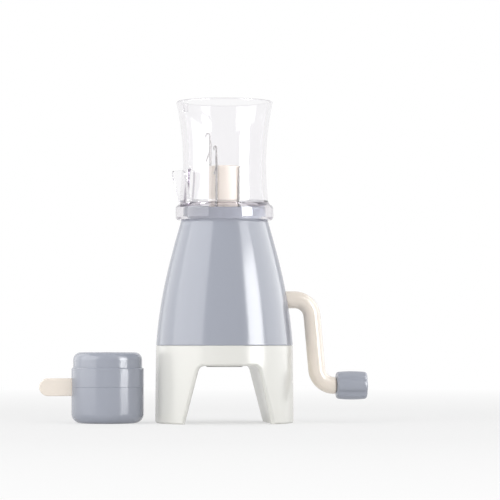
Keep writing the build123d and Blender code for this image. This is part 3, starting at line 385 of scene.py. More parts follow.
@dataclass(frozen=True)
class CastIron:
    """Rough dark cast metal, as the ballast inside the cord weight."""

    name: str
    colour: Colour = (0.055, 0.055, 0.06)
    metallic: float = 0.6
    roughness: float = 0.62
    rust: Colour = (0.11, 0.06, 0.035)
    rust_size: float = 5 * MM
    rust_gain: float = 2.0
    sand_size: float = 0.6 * MM
    sand_depth: float = 0.06 * MM
    sand_roughness: float = 0.2

    def material(self) -> bpy.types.Material:
        """Build the finish as a node material.

        Returns:
            The material.
        """
        material, graph = new_material(self.name)
        sand = surface_noise(graph, self.sand_size, 6.0)
        rusty = surface_noise(graph, self.rust_size, 5.0)
        share = (rusty - NOISE_MIDDLE).at_least(0.0) * self.rust_gain
        graph.coat({
            "Base Color": graph.blend(share, self.colour, self.rust),
            "Metallic": self.metallic,
            "Roughness": self.roughness + (sand - NOISE_MIDDLE) * self.sand_roughness,
            "Normal": graph.bump(sand, self.sand_depth),
        })
        return material


def dress(material: bpy.types.Material, *nodes: str) -> None:
    """Give CAD nodes their finish.

    Args:
        material: The material that fills all their slots.
        nodes: The nodes' names.
    """
    for node in nodes:
        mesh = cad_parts[node].data
        mesh.materials.clear()
        mesh.materials.append(material)
        LOG.info("dressed %s as %s", node, material.name)


# ---- pieces made with geometry nodes
class Shaper(Graph):
    """A Geometry Nodes tree with named inputs that makes one piece from a seed mesh."""

    def __init__(self, name: str) -> None:
        """Start the tree with its output and with inputs for the seed and the finish.

        Args:
            name: The tree's name.
        """
        super().__init__(bpy.data.node_groups.new(name, "GeometryNodeTree"))
        self.tree.interface.new_socket("Geometry", in_out="OUTPUT",
                                       socket_type="NodeSocketGeometry")
        self.entry = self.tree.nodes.new("NodeGroupInput")
        self.seed = self.input("Seed", None, "NodeSocketGeometry")
        self.finish = self.input("Finish", None, "NodeSocketMaterial")

    def input(self, name: str, default: Any, kind: str = "NodeSocketFloat") -> Signal:
        """Add a named input.

        Args:
            name: The input's name.
            default: Its default value, or None.
            kind: Its socket type.

        Returns:
            The input's value as a signal.
        """
        socket = self.tree.interface.new_socket(name, in_out="INPUT", socket_type=kind)
        if default is not None:
            socket.default_value = default
        return Signal(self, self.entry.outputs[name])

    def inputs(self, kind: str, *names: str) -> list[Signal]:
        """Add several named inputs of one kind, which every piece sets."""
        return [self.input(name, None, kind) for name in names]

    def place(self) -> Signal:
        """Return the position of whatever point the field is read at."""
        return self.add("GeometryNodeInputPosition")

    def vector(self, x: Any, y: Any, z: Any) -> Signal:
        """Return the vector of three signals or numbers."""
        return self.add("ShaderNodeCombineXYZ", None, {0: x, 1: y, 2: z})

    def move(self, geometry: Signal, shift: Any, turn: Any = (0.0, 0.0, 0.0)) -> Signal:
        """Return the geometry turned about the origin and then shifted."""
        return self.add("GeometryNodeTransform", None,
                        {"Geometry": geometry, "Translation": shift, "Rotation": turn})

    def combine(self, operation: str, first: Signal, others: list[Signal]) -> Signal:
        """Join or cut solids exactly.

        Args:
            operation: UNION, or DIFFERENCE for the first less the others.
            first: The first solid.
            others: The other solids.

        Returns:
            The solid that they make.
        """
        sockets = {0: first, 1: others} if operation == "DIFFERENCE" else {1: [first, *others]}
        return self.add("GeometryNodeMeshBoolean",
                        {"operation": operation, "solver": "EXACT"}, sockets)

    def cube(self, size: Signal) -> Signal:
        """Return a box of the given size about the origin."""
        return self.add("GeometryNodeMeshCube", None, {"Size": size}, "Mesh")

    def ring(self, radius: Any, steps: int) -> Signal:
        """Return a circle about the origin as a curve, to be swept along another."""
        return self.add("GeometryNodeCurvePrimitiveCircle", {"mode": "RADIUS"},
                        {"Resolution": steps, "Radius": radius})

    def stored(self, name: str) -> Signal:
        """Return a named value that the seed's points carry."""
        return self.add("GeometryNodeInputNamedAttribute", {"data_type": "FLOAT"}, {"Name": name},
                        "Attribute")

    def lathe(self, profile: Signal, steps: int,
              reshape: Callable[[Signal, Signal], Signal] | None = None) -> Signal:
        """Turn a row of points round the Z axis.

        Args:
            profile: Points at (radius, 0, height), in order.
            steps: How many steps make the whole turn.
            reshape: Gives the radius to use in place of the profile's, from that one and the angle.

        Returns:
            The turned surface, with coinciding points merged.
        """
        count = self.add("GeometryNodeAttributeDomainSize", {"component": "MESH"},
                         {"Geometry": profile}, "Point Count")
        grid = self.add("GeometryNodeMeshGrid", None, {
            "Size X": 1.0, "Size Y": 1.0, "Vertices X": count, "Vertices Y": steps + 1}, "Mesh")
        along, around, _ = self.place().parts()
        half = 0.5  # the grid runs this far both ways from its middle
        index = ((along + half) * (count - 1.0) + 0.5).whole()
        sampled = self.add("GeometryNodeSampleIndex",
                           {"data_type": "FLOAT_VECTOR", "domain": "POINT"},
                           {"Geometry": profile, "Value": self.place(), "Index": index})
        radius, _, height = sampled.parts()
        angle = (around + half) * math.tau
        if reshape is not None:
            radius = reshape(radius, angle)
        spun = self.vector(radius * angle.cosine(), radius * angle.sine(), height)
        shaped = self.add("GeometryNodeSetPosition", None, {"Geometry": grid, "Position": spun})
        return self.add("GeometryNodeMergeByDistance", None, {"Geometry": shaped, "Distance": WELD})

    def close(self, geometry: Signal) -> None:
        """End the tree: realize instances, set the finish and give the geometry out.

        Args:
            geometry: The piece's finished geometry.
        """
        real = self.add("GeometryNodeRealizeInstances", None, {"Geometry": geometry})
        painted = self.add("GeometryNodeSetMaterial", None,
                           {"Geometry": real, "Material": self.finish})
        self.add("NodeGroupOutput", None, {"Geometry": painted})

    def bake(self, name: str, seed: bpy.types.Mesh, finish: bpy.types.Material,
             values: Mapping[str, Any] | None = None, crease: float = 38.0) -> bpy.types.Object:
        """Run the tree over a seed and keep the result as a plain mesh.

        Args:
            name: The new object's name.
            seed: The mesh that the tree starts from.
            finish: The piece's material.
            values: Values of other inputs, by name.
            crease: Edges sharper than this, in degrees, stay sharp.

        Returns:
            The new object, at the origin, closed and facing outwards.
        """
        source = bpy.data.objects.new(name + "_seed", seed)
        bpy.context.scene.collection.objects.link(source)
        modifier = source.modifiers.new(self.tree.name, "NODES")
        modifier.node_group = self.tree
        given = {"Finish": finish, **(values or {})}
        for item in self.tree.interface.items_tree:
            if item.in_out == "INPUT" and item.name in given:
                modifier[item.identifier] = given[item.name]
        bpy.context.view_layer.update()
        evaluated = source.evaluated_get(bpy.context.evaluated_depsgraph_get())
        mesh = bpy.data.meshes.new_from_object(evaluated)
        bpy.data.objects.remove(source)
        mesh.name = name
        work = bmesh.new()
        work.from_mesh(mesh)
        if work.calc_volume(signed=True) < 0:
            bmesh.ops.reverse_faces(work, faces=work.faces)
        work.to_mesh(mesh)
        work.free()
        mesh.shade_smooth()
        mesh.set_sharp_from_angle(angle=math.radians(crease))
        piece = bpy.data.objects.new(name, mesh)
        bpy.context.scene.collection.objects.link(piece)
        LOG.info("made %s: %d faces", name, len(mesh.polygons))
        return piece


def seed_mesh(name: str, points: Sequence[Triple],
              fields: Mapping[str, Sequence[float]] | None = None) -> bpy.types.Mesh:
    """Make a mesh that is one open row of points, given in millimetres.

    Args:
        name: The mesh's name.
        points: The points, in order.
        fields: Further values of each point, by attribute name.

    Returns:
        The mesh, in metres.
    """
    mesh = bpy.data.meshes.new(name)
    mesh.from_pydata([metres(point) for point in points],
                     [(i, i + 1) for i in range(len(points) - 1)], [])
    for field, numbers in (fields or {}).items():
        mesh.attributes.new(field, "FLOAT", "POINT").data.foreach_set("value", list(numbers))
    return mesh


def metres(millimetres: Triple) -> Triple:
    """Return three sizes given in millimetres as metres."""
    return tuple(size * MM for size in millimetres)


def quarter(start: tuple[float, float], end: tuple[float, float], upright_first: bool,
            steps: int = 8) -> list[tuple[float, float]]:
    """Trace a quarter ellipse.

    Args:
        start: Where it begins.
        end: Where it ends.
        upright_first: Whether it leaves the start upright, or else level.
        steps: How many steps it has.

    Returns:
        Its points, both ends among them.
    """
    points = []
    for i in range(steps + 1):
        turn = math.pi / 2 * i / steps
        level, upright = math.sin(turn), 1 - math.cos(turn)
        if upright_first:
            level, upright = upright, level
        points.append((start[0] + (end[0] - start[0]) * level,
                       start[1] + (end[1] - start[1]) * upright))
    return points


def attach(piece: bpy.types.Object, body: str, slot: str, *nodes: str) -> None:
    """Let a piece ride on a body in place of CAD nodes.

    Args:
        piece: The finished piece.
        body: The body that it rides on.
        slot: Not used.
        nodes: The CAD nodes that it stands for.
    """
    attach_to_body(piece, body)
    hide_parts(*nodes)


def screw_tree(steps: int = 40) -> Shaper:
    """Build the tree of screws with a cross recess, set round a circle.

    Args:
        steps: How many steps a screw is turned in.

    Returns:
        The tree.
    """
    shaper = Shaper("cross_recess_screws")
    count = shaper.input("Count", 1, "NodeSocketInt")
    circle, first, step, extra, head_height, length, width, depth = shaper.inputs(
        "NodeSocketFloat", "Circle Radius", "First Angle", "Angle Step", "Every Second Angle",
        "Head Height", "Recess Length", "Recess Width", "Recess Depth")
    shift, turn = shaper.inputs("NodeSocketVector", "Shift", "Turn")
    blank = shaper.lathe(shaper.seed, steps)
    top = shaper.vector(0.0, 0.0, head_height)
    bars = [shaper.move(shaper.cube(shaper.vector(*size, depth * 2.0)), top)
            for size in ((length, width), (width, length))]
    screw = shaper.combine("DIFFERENCE", blank, [shaper.combine("UNION", bars[0], bars[1:])])
    number = shaper.add("GeometryNodeInputIndex")
    angle = first + number * step + (number * 0.5).fraction() * 2.0 * extra
    spots = shaper.add("GeometryNodePoints", None, {
        "Count": count,
        "Position": shaper.vector(circle * angle.cosine(), circle * angle.sine(), 0.0),
    })
    screws = shaper.add("GeometryNodeInstanceOnPoints", None,
                        {"Points": spots, "Instance": screw})
    shaper.close(shaper.move(screws, shift, turn))
    return shaper


@dataclass(frozen=True)
class ScrewSet:
    """Equal screws round a circle: sizes in millimetres, angles in degrees.

    The dome is a share of the head's height, the thread's flank a share of its pitch, and its root
    and the tip are shares of the shank's radius.
    """

    node: str
    body: Body
    head: float
    head_height: float
    shank: float
    length: float
    recess: Triple
    seat: Triple
    turn: Triple = (0.0, 0.0, 0.0)
    count: int = 1
    circle: float = 0.0
    first: float = 0.0
    step: float = 0.0
    every_second: float = 0.0
    pitch: float = 0.8
    dome: float = 0.45
    flank: float = 0.35
    root: float = 0.86
    tip: float = 0.7

    def profile(self) -> list[Triple]:
        """Draw the half section: the domed head, then the shank with its thread, to the axis.

        Returns:
            Its points at (radius, 0, height), in millimetres.
        """
        edge = self.head_height * self.dome
        inner, lower = self.head - edge, self.head_height - edge
        points = [(0.0, self.head_height), (inner, self.head_height)]
        points += quarter((inner, self.head_height), (self.head, lower), False)[1:]
        points += [(self.head, 0.0), (self.shank, 0.0)]
        turns = int(self.length / self.pitch) - 1
        for i in range(turns):
            low = -self.pitch * (i + 1)
            points += [(self.shank, low + self.flank * self.pitch), (self.shank * self.root, low)]
        points += [(self.shank * self.tip, -self.length), (0.0, -self.length)]
        return [(radius, 0.0, height) for radius, height in points]

    def build(self, tree: Shaper, finish: bpy.types.Material) -> None:
        """Make the screws in place of their CAD node.

        Args:
            tree: The tree of screws.
            finish: Their material.
        """
        values = {
            "Count": self.count,
            "Circle Radius": self.circle * MM,
            "Head Height": self.head_height * MM,
            "First Angle": math.radians(self.first),
            "Angle Step": math.radians(self.step),
            "Every Second Angle": math.radians(self.every_second),
            "Recess Length": self.recess[0] * MM,
            "Recess Width": self.recess[1] * MM,
            "Recess Depth": self.recess[2] * MM,
            "Shift": metres(self.seat),
            "Turn": tuple(math.radians(c) for c in self.turn),
        }
        name = self.node + "_looks"
        piece = tree.bake(name, seed_mesh(name + "_profile", self.profile()), finish, values)
        attach(piece, self.body.value, "screw_steel", self.node)


# ---- sub-assemblies
class Palette:
    """Every finish of the machine, built once."""

    def __init__(self) -> None:
        """Build the materials."""
        self.shell = MouldedPlastic("shell_grey_plastic", (0.355, 0.375, 0.435), 0.16).material()
        self.base = MouldedPlastic("base_white_plastic", (0.78, 0.775, 0.735), 0.24).material()
        self.drum = MouldedPlastic("drum_cream_plastic", (0.85, 0.77, 0.69), 0.5).material()
        self.crank = MouldedPlastic("crank_cream_plastic", (0.88, 0.80, 0.71), 0.20).material()
        self.knob = MouldedPlastic("knob_grey_plastic", (0.355, 0.375, 0.435), 0.26).material()
        self.inner = MouldedPlastic("inner_white_plastic", (0.72, 0.72, 0.70), 0.4).material()
        self.gear = MouldedPlastic("gear_plastic", (0.66, 0.66, 0.64), 0.35).material()
        self.hood = ClearPlastic("clear_hood_plastic").material()
        self.needle = DrawnSteel("needle_steel").material()
        self.screw = DrawnSteel("screw_steel", (0.50, 0.50, 0.51), 0.3, (1.0, 1.0, 1.0)).material()
        self.iron = CastIron("ballast_iron").material()


@dataclass(frozen=True)
class MachineBody:
    """Feet and base, shell, hood and what is fixed inside them."""

    base_screws: ScrewSet = ScrewSet(
        "base_screws", Body.MACHINE, head=2.7, head_height=1.8, shank=1.3, length=15.2,
        recess=(3.4, 0.8, 1.1), seat=(0.0, 0.0, 30.1), turn=(180.0, 0.0, 0.0),
        count=4, circle=29.4, first=25.0, step=90.0, every_second=40.0)
    cam_screws: ScrewSet = ScrewSet(
        "cam_screws", Body.MACHINE, head=1.9, head_height=1.1, shank=1.0, length=7.4,
        recess=(2.2, 0.5, 0.6), seat=(0.0, 0.0, 106.3),
        count=3, circle=17.5, first=30.0, step=120.0)

    def build(self, palette: Palette, screws: Shaper) -> None:
        """Dress the fixed pieces and set their screws.

        Args:
            palette: The machine's finishes.
            screws: The tree of screws.
        """
        dress(palette.base, "base")
        dress(palette.shell, "upper_shell")
        dress(palette.hood, "hood")
        dress(palette.inner, "chassis", "cam_ring")
        dress(palette.gear, "crank_bush")
        self.base_screws.build(screws, palette.screw)
        self.cam_screws.build(screws, palette.screw)


@dataclass(frozen=True)
class LatchNeedle:
    """One latch needle with its latch: sizes in millimetres, heights above the floor.

    The taper from stem to wire starts taper_below the hook's top. The hook's thinning and the tip's
    rows (an inset, a drop and a share of the wire's radius) shape its point. A latch station is a
    distance from the pivot, and the half width in the latch's plane and across it.
    """

    number: int
    angle: float
    lift: float
    hook_top: float = 134.7
    stem_foot: float = 79.95
    stem_radius: float = 0.6
    stem_from_axis: float = 8.55
    stem_steps: int = 12
    foot_height: float = 0.3
    foot_share: float = 0.8
    taper_below: float = 6.4
    taper_length: float = 2.2
    taper_steps: int = 6
    wire_radius: float = 0.45
    wire_from_axis: float = 8.75
    hook_radius: float = 1.3
    hook_steps: int = 18
    hook_thinning: float = 0.35
    tip: tuple[Triple, ...] = ((0.05, 0.4, 0.5), (0.2, 0.8, 0.22))
    butt_reach: float = 12.69
    butt_height: float = 2.8
    pivot_drop: float = 8.9
    pivot_from_axis: float = 8.72
    slot_from_axis: float = 8.1
    slot_size: Triple = (2.0, 0.5, 8.4)
    latch_lean: float = 20.0
    latch_stations: tuple[Triple, ...] = (
        (-0.42, 0.10, 0.18), (-0.33, 0.30, 0.18), (0.0, 0.42, 0.18), (0.5, 0.40, 0.18),
        (1.5, 0.30, 0.18), (3.5, 0.27, 0.18), (4.9, 0.26, 0.20), (5.4, 0.27, 0.34),
        (5.8, 0.27, 0.50), (6.2, 0.26, 0.55), (6.5, 0.22, 0.45), (6.7, 0.10, 0.2))
    eye_size: Triple = (0.44, 2.0, 0.44)
    grain_size: Triple = (0.1, 0.1, 0.1)
    grain_out: float = 1.2
    grain_drop: float = 3.3

    @property
    def top(self) -> float:
        """Return the height of the hook's top at rest."""
        return self.hook_top + self.lift

    @property
    def foot(self) -> float:
        """Return the height of the stem's lower end at rest."""
        return self.stem_foot + self.lift

    @property
    def pivot(self) -> float:
        """Return the height of the latch's pivot at rest."""
        return self.top - self.pivot_drop

    def spot(self, out: float, height: float) -> Triple:
        """Return the place at a distance from the drum's axis and a height."""
        turn = math.radians(self.angle)
        return out * math.cos(turn), out * math.sin(turn), height

    def needle_seed(self) -> bpy.types.Mesh:
        """Draw the wire's middle line from the stem's foot round the hook to its point.

        Returns:
            The line as the needle's seed.
        """
        stem, wire = self.stem_from_axis, self.wire_from_axis
        taper = self.top - self.taper_below
        rows = [(stem, self.foot, self.stem_radius * self.foot_share),
                (stem, self.foot + self.foot_height, self.stem_radius)]
        rows += [(stem, self.foot + (taper - self.foot) * i / self.stem_steps, self.stem_radius)
                 for i in range(1, self.stem_steps + 1)]
        for i in range(1, self.taper_steps + 1):
            share = i / self.taper_steps
            smooth = share * share * (3 - 2 * share)
            rows.append((stem + (wire - stem) * smooth, taper + self.taper_length * share,
                         self.stem_radius + (self.wire_radius - self.stem_radius) * smooth))
        middle, level = wire + self.hook_radius, self.top - self.wire_radius - self.hook_radius
        for i in range(self.hook_steps + 1):
            share = i / self.hook_steps
            turn = math.pi * (1 - share)
            rows.append((middle + self.hook_radius * math.cos(turn),
                         level + self.hook_radius * math.sin(turn),
                         self.wire_radius * (1 - self.hook_thinning * share ** 2)))
        rows += [(middle + self.hook_radius - inset, level - drop, self.wire_radius * thin)
                 for inset, drop, thin in self.tip]
        return self.seed("needle", rows, [1.0] * len(rows))

    def latch_seed(self) -> bpy.types.Mesh:
        """Draw the latch's middle line from its eye to the end of its spoon.

        Returns:
            The line as the latch's seed.
        """
        lean = math.radians(self.latch_lean)
        rows = [(self.pivot_from_axis + along * math.sin(lean), self.pivot - along * math.cos(lean),
                 half) for along, half, _ in self.latch_stations]
        return self.seed("latch", rows, [thick / half for _, half, thick in self.latch_stations])

    def seed(self, kind: str, rows: Sequence[Triple], flat: Sequence[float]) -> bpy.types.Mesh:
        """Make the seed of a steel piece.

        Args:
            kind: The first part of the seed's name.
            rows: Its middle line, each a distance from the axis, a height and a half width.
            flat: How thick it is at each row, as a share of its width.

        Returns:
            The seed's mesh.
        """
        return seed_mesh(f"{kind}_{self.number}_line",
                         [self.spot(out, height) for out, height, _ in rows],
                         {"half_width": [half * MM for _, _, half in rows], "flatness": flat})

    def make(self, kind: str, tree: Shaper, seed: bpy.types.Mesh, finish: bpy.types.Material,
             slot: tuple[Triple, Triple], butt: tuple[Triple, Triple]) -> None:
        """Make one steel piece in place of its CAD node.

        Args:
            kind: "needle" or "latch".
            tree: The tree of swept steel pieces.
            seed: The piece's middle line.
            finish: The steel.
            slot: Size and place of the box that is cut out.
            butt: Size and place of the box that is added.
        """
        turn = math.radians(self.angle)
        node = f"{kind}_{self.number}"
        piece = tree.bake(node + "_looks", seed, finish, {
            "Across": (math.sin(turn), -math.cos(turn), 0.0),
            "Angle": turn,
            "Slot Size": metres(slot[0]),
            "Slot Place": metres(slot[1]),
            "Butt Size": metres(butt[0]),
            "Butt Place": metres(butt[1]),
        })
        attach(piece, node, "needle_steel", node)

    def build(self, tree: Shaper, finish: bpy.types.Material) -> None:
        """Make the needle and its latch in place of their CAD nodes.

        Args:
            tree: The tree of swept steel pieces.
            finish: The steel.
        """
        length = self.butt_reach - self.stem_from_axis
        slot = (self.slot_size,
                self.spot(self.slot_from_axis + self.slot_size[0] / 2, self.pivot))
        butt = ((length, 2 * self.stem_radius, self.butt_height),
                self.spot(self.stem_from_axis + length / 2, self.foot + self.butt_height / 2))
        self.make("needle", tree, self.needle_seed(), finish, slot, butt)
        # The tree joins a box to every piece, so the latch gets a grain buried in its arm.
        eye = (self.eye_size, self.spot(self.pivot_from_axis, self.pivot))
        grain = (self.grain_size,
                 self.spot(self.pivot_from_axis + self.grain_out, self.pivot - self.grain_drop))
        self.make("latch", tree, self.latch_seed(), finish, eye, grain)


def steel_tree(steps: int = 16) -> Shaper:
    """Build the tree of a steel piece swept along its line, with a slot cut and a butt added.

    Args:
        steps: How many steps there are round the piece.

    Returns:
        The tree.
    """
    shaper = Shaper("swept_steel")
    angle = shaper.input("Angle", 0.0)
    across, slot_size, slot_place, butt_size, butt_place = shaper.inputs(
        "NodeSocketVector", "Across", "Slot Size", "Slot Place", "Butt Size", "Butt Place")
    line = shaper.add("GeometryNodeMeshToCurve", None, {"Mesh": shaper.seed})
    swept = shaper.add("GeometryNodeCurveToMesh", None, {
        "Curve": line, "Profile Curve": shaper.ring(1.0, steps),
        "Scale": shaper.stored("half_width"), "Fill Caps": True})
    aside = shaper.add("ShaderNodeVectorMath", {"operation": "DOT_PRODUCT"},
                       {0: shaper.place(), 1: across}, "Value")
    offset = shaper.add("ShaderNodeVectorMath", {"operation": "SCALE"},
                        {0: across, "Scale": aside * (shaper.stored("flatness") - 1.0)})
    swept = shaper.add("GeometryNodeSetPosition", None, {"Geometry": swept, "Offset": offset})
    turn = shaper.vector(0.0, 0.0, angle)
    cut = shaper.combine("DIFFERENCE", swept,
                         [shaper.move(shaper.cube(slot_size), slot_place, turn)])
    butt = shaper.move(shaper.cube(butt_size), butt_place, turn)
    shaper.close(shaper.combine("UNION", cut, [butt]))
    return shaper


@dataclass(frozen=True)
class NeedleDrum:
    """The hollow drum with its gear and the four needles that it carries round."""

    needles: tuple[LatchNeedle, ...] = (
        LatchNeedle(1, angle=147.0, lift=18.01),
        LatchNeedle(2, angle=237.0, lift=10.32),
        LatchNeedle(3, angle=327.0, lift=0.0),
        LatchNeedle(4, angle=417.0, lift=0.0),
    )

    def build(self, palette: Palette) -> None:
        """Dress the drum and its gear, and make the needles.

        Args:
            palette: The machine's finishes.
        """
        dress(palette.drum, "needle_drum")
        dress(palette.gear, "drum_gear")
        tree = steel_tree()
        for needle in self.needles:
            needle.build(tree, palette.needle)
            dress(palette.needle, f"latch_rivet_{needle.number}")


@dataclass(frozen=True)
class FlutedKnob:
    """The turning grip on the crank's spindle: sizes in millimetres."""

    start: float = 59.0
    height: float = 19.5
    length: float = 16.0
    radius: float = 7.7
    barrel: float = 0.3
    edge_along: float = 2.0
    edge_in: float = 1.6
    bore: float = 3.07
    counterbore: float = 4.6
    counterbore_depth: float = 3.07
    lip: float = 0.3
    flutes: int = 6
    flute_depth: float = 0.95
    flute_half_angle: float = 16.0
    half_rings: int = 8
    steps_around: int = 192

    def profile(self) -> list[Triple]:
        """Draw the closed half section, round the outside and back through the bore.

        Returns:
            Its points at (radius, 0, height), in millimetres.
        """
        face, shoulder = self.radius - self.edge_in, self.radius - self.barrel
        half = self.length / 2 - self.edge_along
        points = [(self.bore, self.lip), (self.bore + self.lip, 0.0)]
        points += quarter((face, 0.0), (shoulder, self.edge_along), False)
        for i in range(1, 2 * self.half_rings):
            away = -1 + i / self.half_rings
            points.append((self.radius - self.barrel * away * away, self.length / 2 + half * away))
        points += quarter((shoulder, self.length - self.edge_along), (face, self.length), True)
        inner = self.length - self.counterbore_depth
        points += [(self.counterbore + self.lip, self.length),
                   (self.counterbore, self.length - self.lip),
                   (self.counterbore, inner), (self.bore, inner), (self.bore, self.lip)]
        return [(radius, 0.0, height) for radius, height in points]

    def build(self, finish: bpy.types.Material) -> None:
        """Make the knob in place of its CAD node.

        Args:
            finish: The knob's material.
        """
        shaper = Shaper("fluted_knob")
        flutes = shaper.input("Flutes", float(self.flutes))
        depth = shaper.input("Flute Depth", self.flute_depth * MM)
        spread = shaper.input("Flute Half Angle", math.radians(self.flute_half_angle))
        bore, radius = self.bore * MM, self.radius * MM

        def fluted(out: Signal, angle: Signal) -> Signal:
            """Sink the radius in the flutes, ever less towards the bore.

            Args:
                out: The profile's radius.
                angle: The angle round the knob.

            Returns:
                The radius to use.
            """
            pitch = flutes * (1 / math.tau)
            from_middle = ((angle * pitch + 0.5).fraction() - 0.5).absolute() / pitch
            dip = ((from_middle / spread).at_most(1.0) * math.pi).cosine() * 0.5 + 0.5
            reach = ((out - bore) * (1 / (radius - bore))).at_least(0.0)
            return out - depth * dip * reach * reach

        knob = shaper.lathe(shaper.seed, self.steps_around, fluted)
        shaper.close(shaper.move(knob, metres((self.start, 0.0, self.height)), ALONG_X))
        piece = shaper.bake("knob_looks", seed_mesh("knob_profile", self.profile()), finish)
        attach(piece, Body.KNOB.value, "knob_grey", "knob")


@dataclass(frozen=True)
class Crank:
    """The side crank with its shaft, pinion and knob."""

    knob: FlutedKnob = FlutedKnob()
    screw: ScrewSet = ScrewSet(
        "knob_screw", Body.CRANK, head=4.2, head_height=1.6, shank=1.3, length=8.0,
        recess=(3.6, 0.8, 1.0), seat=(72.0, 0.0, 19.5), turn=(0.0, 90.0, 0.0))

    def build(self, palette: Palette, screws: Shaper) -> None:
        """Dress the arm and shaft, and make the knob and its screw.

        Args:
            palette: The machine's finishes.
            screws: The tree of screws.
        """
        dress(palette.crank, "crank_arm")
        dress(palette.screw, "crank_shaft", "shaft_clip")
        dress(palette.gear, "crank_pinion")
        self.knob.build(palette.knob)
        self.screw.build(screws, palette.screw)


@dataclass(frozen=True)
class ButtonSpring:
    """The coil behind the weight's button: sizes in millimetres."""

    start: float = -57.0
    end: float = -46.3
    height: float = 18.8
    radius: float = 3.2
    wire: float = 0.7
    turns: float = 5.0
    travel: float = 6.0
    steps_in_turn: int = 40
    steps_around: int = 14

    def build(self, finish: bpy.types.Material) -> None:
        """Make the coil in place of its CAD node.

        Args:
            finish: The spring's material.
        """
        shaper = Shaper("button_spring")
        turns = shaper.input("Turns", self.turns)
        coil = shaper.input("Coil Radius", (self.radius - self.wire / 2) * MM)
        wire = shaper.input("Wire Radius", self.wire / 2 * MM)
        rise = shaper.input("Length", (self.end - self.start - self.wire) * MM)
        helix = shaper.add("GeometryNodeCurveSpiral", None, {
            "Resolution": self.steps_in_turn, "Rotations": turns,
            "Start Radius": coil, "End Radius": coil, "Height": rise})
        swept = shaper.add("GeometryNodeCurveToMesh", None, {
            "Curve": helix, "Profile Curve": shaper.ring(wire, self.steps_around),
            "Fill Caps": True})
        place = metres((self.start + self.wire / 2, 0.0, self.height))
        shaper.close(shaper.move(swept, place, ALONG_X))
        seed = seed_mesh("spring_seed", [(0.0, 0.0, 0.0)])
        piece = shaper.bake("weight_spring_looks", seed, finish)
        attach(piece, Body.WEIGHT.value, "screw_steel", "weight_spring")
        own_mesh(piece)


@dataclass(frozen=True)
class CordWeight:
    """The weight that hangs on the finished cord, with its clamp button."""

    spring: ButtonSpring = ButtonSpring()

    def build(self, palette: Palette) -> None:
        """Dress the weight and make its spring.

        Args:
            palette: The machine's finishes.
        """
        dress(palette.shell, "weight_lower", "weight_upper")
        dress(palette.crank, "weight_button")
        dress(palette.iron, "weight_ballast")
        self.spring.build(palette.screw)


# ---- stage
@dataclass(frozen=True)
class PhotoCamera:
    """A long lens, level with the base and a little to the left of the front."""

    azimuth: float = -4.8
    distance: float = 1.4
    height: float = 46 * MM
    aim_side: float = 13.4 * MM
    aim_height: float = 90.6 * MM
    field: float = 262.5 * MM
    sensor: float = 36.0
    clip: tuple[float, float] = (0.01, 50.0)

    def place(self) -> None:
        """Create the camera and let the scene use it."""
        turn = math.radians(self.azimuth)
        right = Vector((math.cos(turn), math.sin(turn), 0))
        back = Vector((math.sin(turn), -math.cos(turn), 0))
        aim = right * self.aim_side + Vector((0, 0, self.aim_height))
        data = bpy.data.cameras.new("photo_camera")
        camera = bpy.data.objects.new("photo_camera", data)
        bpy.context.scene.collection.objects.link(camera)
        camera.location = (right * self.aim_side + back * self.distance
                           + Vector((0, 0, self.height)))
        camera.rotation_mode = "QUATERNION"
        camera.rotation_quaternion = (aim - camera.location).to_track_quat("-Z", "Y")
        data.sensor_width = self.sensor
        data.lens = self.sensor * self.distance / self.field
        data.clip_start, data.clip_end = self.clip
        bpy.context.scene.camera = camera


class Role(Enum):
    """What a studio panel does."""

    REFLECTION = "shows in reflections only"
    LIGHT = "lights only"


@dataclass(frozen=True)
class Panel:
    """A soft panel that faces the machine: sizes in metres.

    The azimuth goes from the front towards the right, in degrees. The height and the distance from
    the machine's axis are those of the panel's middle.
    """

    name: str
    role: Role
    azimuth: float
    height: float
    distance: float
    size: tuple[float, float]
    radiance: float
    on_hood: bool = True
    aim: float = 0.09

    def hang(self) -> None:
        """Create the panel's lamp."""
        turn = math.radians(self.azimuth)
        data = bpy.data.lights.new(self.name, "AREA")
        data.shape = "RECTANGLE"
        data.size, data.size_y = self.size
        data.energy = self.radiance * math.pi * self.size[0] * self.size[1]
        lamp = bpy.data.objects.new(self.name, data)
        bpy.context.scene.collection.objects.link(lamp)
        lamp.location = (self.distance * math.sin(turn), -self.distance * math.cos(turn),
                         self.height)
        lamp.rotation_mode = "QUATERNION"
        way = Vector((0, 0, self.aim)) - lamp.location
        lamp.rotation_quaternion = way.to_track_quat("-Z", "Y")
        lamp.visible_camera = False
        lamp.visible_diffuse = self.role is Role.LIGHT
        lamp.visible_glossy = self.role is Role.REFLECTION
        lamp.visible_transmission = False
        if not self.on_hood:
            lamp.light_linking.receiver_collection = self.all_but_hood()

    @staticmethod
    def all_but_hood() -> bpy.types.Collection:
        """Find the light linking collection that keeps a reflection off the clear hood.

        Returns:
            The collection, made at the first call.
        """
        name = "panels_skip_hood"
        if name not in bpy.data.collections:
            skip = bpy.data.collections.new(name)
            skip.objects.link(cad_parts["hood"])
            skip.collection_objects[0].light_linking.link_state = "EXCLUDE"
        return bpy.data.collections[name]


